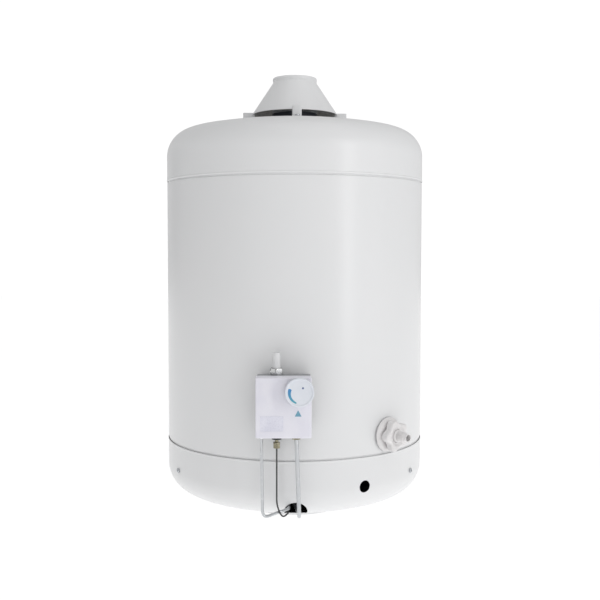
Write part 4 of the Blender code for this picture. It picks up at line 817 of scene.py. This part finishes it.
def flat_strap(line, width, sheet):
    """A strap of sheet bent along a line in X and Z, with its long edges eased."""
    shape = bmesh.new()
    rings = []
    easing = min(sheet * 0.4, 0.4 * MM)
    half = sheet / 2
    section = [(-width / 2, -half + easing), (-width / 2 + easing, -half), (width / 2 - easing, -half),
               (width / 2, -half + easing), (width / 2, half - easing), (width / 2 - easing, half),
               (-width / 2 + easing, half), (-width / 2, half - easing)]
    for index, point in enumerate(line):
        ahead = (line[min(index + 1, len(line) - 1)] - line[max(index - 1, 0)]).normalized()
        normal = Vector((-ahead.z, 0, ahead.x))
        rings.append([shape.verts.new(point + Vector((0, across, 0)) + normal * up)
                      for across, up in section])
    for one, two in zip(rings, rings[1:]):
        wrap(shape, one, two)
    return sealed(shape, rings[0], rings[-1])


# ---------------------------------------------------------------- gas control

def make_control():
    low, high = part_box("valve_cover")
    outside = slab(low, high)
    front = [edge for edge in outside.edges
             if not all(abs(corner.co.y - high.y) < 1e-6 for corner in edge.verts)]
    ease_edges(outside, front, 2.2 * MM, 5)
    wall = 1.8 * MM
    hollow = slab((low.x + wall, low.y + wall, low.z + wall), (high.x - wall, high.y + 0.01, high.z - wall))
    # The shallow field that the blank label lies in.
    field = slab((low.x + 6.6 * MM, low.y - 0.002, low.z + 10.5 * MM),
                 (low.x + 43.0 * MM, low.y + 0.35 * MM, low.z + 34.6 * MM))
    ease_edges(field, edges_along_y(field), 1.5 * MM, 5)
    knob_low, knob_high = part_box("control_knob")
    shaft = Vector(((knob_low.x + knob_high.x) / 2, low.y, (knob_low.z + knob_high.z) / 2))
    to_front = Matrix.Translation(shaft) @ Matrix.Rotation(math.pi / 2, 4, "X")
    hole = moved(spun([(0, -0.01), (4.5 * MM, -0.01), (4.5 * MM, 0.01), (0, 0.01)]), to_front)
    fit("control_front_cover", punched(outside, hollow, field, hole), COVER_ABS,
        ["valve_cover"])
    film = slab((low.x + 7.3 * MM, low.y + 0.05 * MM, low.z + 11.1 * MM),
                (low.x + 42.3 * MM, low.y + 0.40 * MM, low.z + 34.0 * MM))
    fit("blank_label", ease_edges(film, edges_along_y(film), 1.4 * MM, 5), LABEL_FILM)

    # The pointer under the knob: a rounded triangle, printed thick.
    apex = Vector((shaft.x - 2.0 * MM, shaft.z - 29.0 * MM))
    corners = [apex, apex + Vector((5.2 * MM, -9.8 * MM)), apex + Vector((-5.2 * MM, -9.8 * MM))]
    outline = []
    for index, corner in enumerate(corners):
        before, after = corners[index - 1], corners[(index + 1) % 3]
        start = corner + (before - corner).normalized() * 0.9 * MM
        end = corner + (after - corner).normalized() * 0.9 * MM
        outline += curve(start, corner, end, 4)
    pointer = drawn_out(outline, -0.1 * MM, 0.16 * MM, 0.05 * MM, 2)
    fit("pointer_mark", pointer, TEAL_INK,
        stand=Matrix.Translation((0, low.y, 0)) @ Matrix.Rotation(math.pi / 2, 4, "X"))
    make_valve_body()
    make_knob(shaft, to_front, knob_low, knob_high)


def make_valve_body():
    low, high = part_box("gas_valve_body")
    casting = slab(low, high)
    ease_edges(casting, casting.edges, 1.0 * MM, 3)
    pockets = []
    depth = 1.6 * MM
    middle = (low.y + high.y) / 2
    rows = 3
    step = (high.z - low.z - 0.016) / rows
    for row in range(rows):
        bottom = low.z + 0.010 + row * step
        for x in (low.x, high.x):
            pocket = slab((x - depth, middle - 9 * MM, bottom),
                          (x + depth, middle + 9 * MM, bottom + step - 5 * MM))
            pockets.append(ease_edges(pocket, pocket.edges, 1.0 * MM, 3))
    fit("gas_control_casting", punched(casting, *pockets), CASTING, ["gas_valve_body"])


def make_knob(shaft, to_front, knob_low, knob_high):
    radius = (knob_high.x - knob_low.x) / 2
    back = shaft.y - knob_high.y
    front = shaft.y - knob_low.y
    dial = 18.0 * MM
    sunk = 0.9 * MM
    ribs = 40

    def grip(angle, reach, height):
        if reach < radius - 0.4 * MM or not back + 1.2 * MM < height < front - 2.2 * MM:
            return reach
        return reach - 0.35 * MM * (0.5 - 0.5 * math.cos(ribs * angle))

    side = [(radius, height) for height in
            (back + 1.2 * MM + (front - back - 3.6 * MM) * share / 6 for share in range(7))]
    outline = eased([(radius - 2.2 * MM, back, 0.3 * MM), (radius, back, 0.4 * MM)])
    outline += side
    outline += eased([(radius, front - 2.0 * MM, 0), (radius, front, 1.8 * MM),
                      (dial + 1.6 * MM, front, 0.9 * MM), (dial + 0.3 * MM, front - sunk, 0.6 * MM),
                      (0, front - sunk, 0)], 8)
    outline += [(0, front - 2.4 * MM), (4.6 * MM, front - 2.4 * MM), (4.6 * MM, back), (7.0 * MM, back),
                (7.0 * MM, front - 3.0 * MM), (radius - 2.2 * MM, front - 3.0 * MM)]
    fit("temperature_knob", spun(outline, 160, grip), KNOB_ABS, ["control_knob"],
        body="knob", stand=to_front, crease=30)
    face = front - sunk
    # The blue scale: a band that narrows from the hot end to the cool end.
    fit("knob_scale_band", tapering_band(17.4 * MM, 5.2 * MM, 2.3 * MM, math.radians(158),
                                         math.radians(254), face), BLUE_INK,
        body="knob", stand=to_front)
    dot = spun(eased([(0, face - 0.1 * MM, 0), (1.5 * MM, face - 0.1 * MM, 0),
                      (1.5 * MM, face + 0.14 * MM, 0.08 * MM), (0, face + 0.14 * MM, 0)]), 32)
    fit("knob_pilot_dot", moved(dot, Matrix.Translation((5.0 * MM, 6.8 * MM, 0))), DOT_INK,
        body="knob", stand=to_front)
    tick = slab((12.6 * MM, -0.35 * MM, face - 0.2 * MM), (16.0 * MM, 0.35 * MM, face + 0.25 * MM))
    fit("knob_tick", ease_edges(tick, tick.edges, 0.1 * MM, 2), KNOB_ABS, body="knob",
        stand=to_front)


def tapering_band(radius, thick, thin, start, end, face):
    """A flat band inside part of a circle, thick at its start and thin at its end."""
    steps = 48
    outer, inner = [], []
    for step in range(steps + 1):
        share = step / steps
        turn = start + (end - start) * share
        width = thick + (thin - thick) * share
        inset = width / 2 * (1 - min(1.0, math.sqrt(min(share, 1 - share) * 24 + 0.02)))
        outer.append(((radius - inset) * math.cos(turn), (radius - inset) * math.sin(turn)))
        far = radius - width + inset
        inner.append((far * math.cos(turn), far * math.sin(turn)))
    shape = bmesh.new()
    low, high = face - 0.1 * MM, face + 0.12 * MM
    rows = [[shape.verts.new((*point, height)) for point in line]
            for line, height in ((outer, low), (outer, high), (inner, high), (inner, low))]
    for one, two in zip(rows, rows[1:] + rows[:1]):
        wrap(shape, one, two, closed=False)
    return sealed(shape, [row[0] for row in rows], [row[-1] for row in rows])


# ---------------------------------------------------------------- pipes and fittings

def make_knob_spring():
    """The knob's return spring, which on the real control shortens as the knob is pushed in; here it is drawn
    at one length.
    """
    low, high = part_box("knob_spring")
    middle = (low + high) / 2
    wire, turns = 0.4 * MM, 4
    coil, length = (high.x - low.x) / 2 - wire, high.y - low.y
    steps = turns * 20
    route = []
    for step in range(steps + 1):
        turn = FULL_TURN * turns * step / steps
        along = low.y + wire + (length - 2 * wire) * step / steps
        route.append(Vector((middle.x + coil * math.cos(turn), along, middle.z + coil * math.sin(turn))))
    spring = fit("knob_return_spring", piped(route, wire, steps=8), ZINC, ["knob_spring"])
    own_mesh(spring)


def make_gas_lines():
    lines_y = TANK_AXIS.y - LINES_OUT
    low, high, radius, stand = upright_node("gas_inlet_tube")
    bore, spigot = 4.6 * MM, radius - 0.5 * MM
    tube = [(bore, low, 0), (radius, low, 0), (radius, high - 2.6 * MM, 0.3 * MM),
            (spigot, high - 2.0 * MM, 0.3 * MM), (spigot, high, 0.5 * MM), (bore, high, 0.6 * MM)]
    fit("gas_inlet_pipe", spun(eased(tube)), ENAMEL, ["gas_inlet_tube"], stand=stand)

    sizes = {"gas_inlet_nut": ("inlet_union_nut", NICKEL, "zinc_steel"),
             "main_gas_tube_nut": ("main_tube_nut", BRASS_TARNISH_AND_SHADE, "brass"),
             "pilot_tube_nut": ("pilot_tube_flare_nut", NICKEL, "zinc_steel")}
    for node, (name, finish, slot) in sizes.items():
        low, high, across, stand = upright_node(node)
        fit(name, hexagon(across, across * 0.72, low, high), finish, [node], stand=stand)
    low, high, across, stand = upright_node("thermocouple_nut")
    ferrule_from = high - 14.0 * MM
    fit("thermocouple_union_nut", hexagon(across, 0.0, low, ferrule_from), BRASS_TARNISH_AND_SHADE,
        ["thermocouple_nut"], stand=stand)
    stem = [(0, ferrule_from - 1.0 * MM), (2.6 * MM, ferrule_from - 1.0 * MM), (2.6 * MM, high), (0, high)]
    fit("thermocouple_ferrule", spun(stem, 32), BRASS_TARNISH_AND_SHADE, stand=stand)

    # The boss under the valve that the thermocouple screws into; its near-black colour is painted shade under
    # the control cover.
    fit("thermocouple_boss", hexagon(8.6 * MM, 0.0, high - 9.6 * MM, high), CASTING_PAINTED_SHADE,
        stand=stand)

    top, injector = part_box("main_gas_tube")[1].z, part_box("main_gas_tube")[1].y
    hole_y = TANK_AXIS.y - JACKET_RADIUS + 0.010
    base = TANK_AXIS.z
    x, foot_x = 2.8 * MM, 7.5 * MM
    bend = base + MAIN_BEND_RISE
    route = bent([(x, lines_y, top), (foot_x, lines_y, bend), (foot_x, hole_y, bend),
                  (0, hole_y + 0.04, bend), (0, injector, bend)], 0.014)
    fit("main_gas_line", piped(route, 3.2 * MM, 2.4 * MM), ALUMINIUM, ["main_gas_tube"])

    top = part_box("pilot_tube")[1].z
    x, foot, light_y = -0.0516, base - 0.044, TANK_AXIS.y - 0.086
    light_x = -0.020
    route = bent([(x, lines_y, top), (x + 0.002, lines_y, base - 0.0849),
                  (-0.0259, lines_y + 0.002, base - 0.0757), (-0.0060, hole_y - 0.012, base - 0.0743),
                  (light_x, hole_y + 0.05, base - 0.0750), (light_x, light_y, base - 0.0750),
                  (light_x, light_y, foot)], 0.020)
    fit("pilot_gas_line", piped(route, 2.4 * MM, 1.5 * MM), ALUMINIUM, ["pilot_tube"])

    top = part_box("thermocouple_lead")[1].z
    x, probe_x = -0.0276, -0.038
    route = bent([(x, lines_y, top), (x, lines_y, base - 0.064), (-0.019, lines_y + 0.001, base - 0.0845),
                  (-0.009, hole_y - 0.014, base - 0.0810), (-0.010, hole_y + 0.03, base - 0.0830),
                  (probe_x, hole_y + 0.06, base - 0.0820), (probe_x, light_y, base - 0.0820),
                  (probe_x, light_y, foot)], 0.010)
    fit("thermocouple_wire", piped(route, 1.3 * MM, steps=12), LEAD_SHEATH,
        ["thermocouple_lead"])


def make_water_nipples():
    for node in ("cold_water_nipple", "hot_water_nipple"):
        low, high, radius, stand = upright_node(node)
        bore, end = 10.0 * MM, low + 0.019
        # A three-quarter inch pipe thread: 14 turns to the inch, drawn 1.1 mm deep.
        fit(f"{node}_thread", threaded(radius, 1.1 * MM, bore, low, end, 1.814 * MM), GALVANISED,
            [node], stand=stand)
        pipe = [(bore, end), (radius - 0.4 * MM, end), (radius, end + 1.5 * MM), (radius, high), (bore, high)]
        fit(f"{node}_barrel", spun(pipe), GALVANISED, stand=stand)


def make_bracket_bolts():
    for level, rise in (("upper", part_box("upper_wall_bracket")), ("lower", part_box("lower_wall_bracket"))):
        height = (rise[0].z + rise[1].z) / 2 - TANK_AXIS.z
        for side, azimuth in (("left", math.radians(-142)), ("right", math.radians(142))):
            head = hexagon(7.2 * MM, 0.0, 0.0, 5.3 * MM)
            shank = spun([(0, -20 * MM), (3.6 * MM, -20 * MM), (3.6 * MM, 0.5 * MM), (0, 0.5 * MM)], 24)
            fit(f"{level}_{side}_hex_bolt", punched(head, shank, operation="UNION"), ZINC,
                [f"{level}_bracket_bolt_{side}"],
                stand=facing_out(azimuth, JACKET_RADIUS + 3.6 * MM, height))


# ---------------------------------------------------------------- drain valve

def make_drain_valve():
    out = facing_out(DRAIN_AZIMUTH, JACKET_RADIUS, DRAIN_RISE)
    rosette = in_mm((10.9, 1.6, 0), (27.9, 1.6, 0.3), (28.5, 3.0, 1.0), (25.0, 6.6, 3.0), (21.5, 7.4, 1.0),
                    (10.9, 7.4, 0))
    fit("drain_escutcheon", spun(eased(rosette), 96), DRAIN_NYLON, ["drain_rosette"],
        stand=out)

    lobes, points = 5, 180
    outline = []
    for step in range(points):
        turn = FULL_TURN * step / points
        radius = 26.2 * MM - 6.5 * MM * (0.5 + 0.5 * math.cos(lobes * turn))
        outline.append((radius * math.cos(turn), radius * math.sin(turn)))
    start, end = 10.6 * MM, 24.4 * MM
    handle = drawn_out(outline, start, end, 3.0 * MM, 8)
    # The face dips towards the boss, so that the lobes stand up as finger grips.
    hollow = spun(eased([(0, end - 2.0 * MM, 0), (13.0 * MM, end - 2.0 * MM, 1.0 * MM),
                         (17.5 * MM, end + 0.4 * MM, 1.5 * MM), (17.5 * MM, end + 0.01, 0),
                         (0, end + 0.01, 0)]), 96)
    through = spun([(0, 0), (11.1 * MM, 0), (11.1 * MM, 0.05), (0, 0.05)], 64)
    fit("drain_handwheel", punched(handle, hollow, through), DRAIN_NYLON,
        ["drain_handle"], body="drain_handle", stand=out, crease=40)

    inside, neck, bore = -0.030, 25.0 * MM, 5.3 * MM
    thread_start = neck + 2.2 * MM
    shank = [(bore, inside, 0), (10.5 * MM, inside, 0), (10.5 * MM, neck, 1.0 * MM),
             (8.4 * MM, neck + 1.2 * MM, 0.5 * MM), (8.4 * MM, thread_start, 0), (bore, thread_start, 0)]
    fit("drain_valve_shank", spun(eased(shank), 64), DRAIN_NYLON, ["drain_valve_body"],
        stand=out)
    tail_start, tip, tail_radius = 40.2 * MM, 45.9 * MM, 6.85 * MM
    thread = threaded(8.65 * MM, 2.2 * MM, bore, thread_start, tail_start, 3.4 * MM, 64, 0.8 * MM)
    fit("drain_spout_thread", thread, DRAIN_NYLON, stand=out)
    tail = [(bore, tail_start, 0), (7.5 * MM, tail_start, 0), (tail_radius, tail_start + 1.0 * MM, 0.4 * MM),
            (tail_radius, tip, 0.8 * MM), (bore, tip, 0.5 * MM)]
    fit("drain_spout_tail", spun(eased(tail), 64), DRAIN_NYLON, stand=out)


def finish_carried_nodes():
    """Gives each CAD node that is shown as it is the finish of the real piece."""
    finishes = (
        (GALVANISED, ("upper_wall_bracket", "lower_wall_bracket", "combustion_chamber",
                      "burner_support_bar", "flue_baffle", "pilot_bracket")),
        (BURNER_STEEL, ("burner_head", "burner_mixer_tube")),
        (BRASS, ("burner_injector", "anode_plug")),
        (COPPER, ("thermocouple_probe", "thermostat_stem")),
        (ZINC, ("control_shaft", "pilot_burner")),
        (GLASS_LINING, ("tank_shell", "tank_top_head", "tank_bottom_head", "flue_tube")),
        (PIPE_PLASTIC, ("cold_inlet_deflector", "hot_water_standpipe")),
        (DRAIN_NYLON, ("drain_plunger",)),
        (MAGNESIUM, ("anode_rod",)),
        (glass_wool(), ("insulation_blanket", "top_insulation")),
    )
    for finish, names in finishes:
        for name in names:
            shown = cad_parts[name]
            if not shown.material_slots:
                shown.data.materials.append(finish)
            for holder in shown.material_slots:
                holder.material = finish


# ---------------------------------------------------------------- studio

def make_studio():
    scene = bpy.context.scene
    scene.view_settings.view_transform = "Standard"

    lens = bpy.data.cameras.new("camera")
    lens.lens = 53.75
    lens.sensor_width = 36
    camera = bpy.data.objects.new("camera", lens)
    scene.collection.objects.link(camera)
    tilt, swing, roll = math.radians(90 - 3.06), math.radians(-0.345), math.radians(0.07)
    camera.matrix_world = (Matrix.Translation((0, TANK_AXIS.y - 1.6263, TANK_AXIS.z + 0.3302))
                           @ Matrix.Rotation(swing, 4, "Z") @ Matrix.Rotation(tilt, 4, "X")
                           @ Matrix.Rotation(roll, 4, "Z"))
    scene.camera = camera

    plaster = bpy.data.materials.new("pale_studio_floor")
    plaster.use_nodes = True
    tree = plaster.node_tree
    shader = tree.nodes["Principled BSDF"]
    shader.inputs["Roughness"].default_value = 0.9
    shader.inputs["Emission Color"].default_value = (1, 1, 1, 1)
    shader.inputs["Emission Strength"].default_value = 0.45
    place = add(tree, "ShaderNodeTexCoord")
    cloud = add(tree, "ShaderNodeTexNoise", {"Scale": 3.0, "Detail": 3.0}, {"Vector": (place, "Object")})
    tint = add(tree, "ShaderNodeValToRGB", {"stops": [(0.3, "#FBFBFB"), (0.7, "#FFFFFF")]},
               {"Fac": (cloud, "Fac")})
    wire(tree, shader, {"Base Color": (tint, "Color")})
    ground = bmesh.new()
    bmesh.ops.create_grid(ground, x_segments=8, y_segments=8, size=30)
    mesh = bpy.data.meshes.new("studio_floor")
    ground.to_mesh(mesh)
    ground.free()
    mesh.materials.append(plaster)
    floor = bpy.data.objects.new("studio_floor", mesh)
    floor.location = (0, 0, cad_low.z - 1.1)
    scene.collection.objects.link(floor)

    sky = bpy.data.worlds.new("white_studio")
    scene.world = sky
    sky.use_nodes = True
    tree = sky.node_tree
    backdrop = tree.nodes["Background"]
    backdrop.inputs["Color"].default_value = (1, 1, 1, 1)
    # Level with the object, a dark flag on the left greys one edge of the pipes and fittings, and a
    # paler one on the right keeps the casing's far edge from burning out.
    way = add(tree, "ShaderNodeTexCoord")
    toward = add(tree, "ShaderNodeSeparateXYZ", None, {"Vector": (way, "Generated")})
    left = add(tree, "ShaderNodeMapRange", {"From Min": -0.58, "From Max": -0.70}, {"Value": (toward, "X")})
    climb = add(tree, "ShaderNodeMath", {"operation": "ABSOLUTE"}, {0: (toward, "Z")})
    level = add(tree, "ShaderNodeMapRange", {"From Min": 0.24, "From Max": 0.16}, {"Value": (climb, "Value")})
    left_flag = add(tree, "ShaderNodeMath", {"operation": "MULTIPLY"},
                    {0: (left, "Result"), 1: (level, "Result")})
    right_flag = add(tree, "ShaderNodeMapRange", {"From Min": 0.70, "From Max": 0.95, "To Min": AMBIENT,
                                                  "To Max": AMBIENT - 0.16}, {"Value": (toward, "X")})
    glow = add(tree, "ShaderNodeMath", {"operation": "MULTIPLY_ADD", 1: -0.48},
               {0: (left_flag, "Value"), 2: (right_flag, "Result")})
    wire(tree, backdrop, {"Strength": (glow, "Value")})
    seen = add(tree, "ShaderNodeBackground", {"Color": (1, 1, 1, 1), "Strength": 1.05})
    ray = add(tree, "ShaderNodeLightPath")
    blend = add(tree, "ShaderNodeMixShader", None,
                {0: (ray, "Is Camera Ray"), 1: (backdrop, "Background"), 2: (seen, "Background")})
    wire(tree, tree.nodes["World Output"], {"Surface": (blend, "Shader")})

    # Name, azimuth, elevation, distance, width, height, watts
    boxes = (("side_softbox", 60, 12, 3.2, 2.2, 2.6, 8.5),
             ("strip_softbox", 45, 10, 3.0, 0.35, 1.9, 8.5),
             ("top_softbox", 30, 72, 3.4, 3.0, 3.0, 14.0),
             ("floor_bounce", 20, -62, 2.6, 2.6, 2.6, 4.0))
    aim = Vector((0, TANK_AXIS.y, TANK_AXIS.z + 0.22))
    for name, azimuth, elevation, distance, width, height, watts in boxes:
        light = bpy.data.lights.new(name, "AREA")
        light.shape = "RECTANGLE"
        light.size = width
        light.size_y = height
        light.energy = watts
        stand = bpy.data.objects.new(name, light)
        azimuth, elevation = math.radians(azimuth), math.radians(elevation)
        away = Vector((math.sin(azimuth) * math.cos(elevation), -math.cos(azimuth) * math.cos(elevation),
                       math.sin(elevation)))
        stand.location = aim + away * distance
        stand.rotation_euler = away.to_track_quat("Z", "Y").to_euler()
        scene.collection.objects.link(stand)


make_casing()
make_hood()
make_control()
make_knob_spring()
make_gas_lines()
make_water_nipples()
make_bracket_bolts()
make_drain_valve()
finish_carried_nodes()
make_studio()
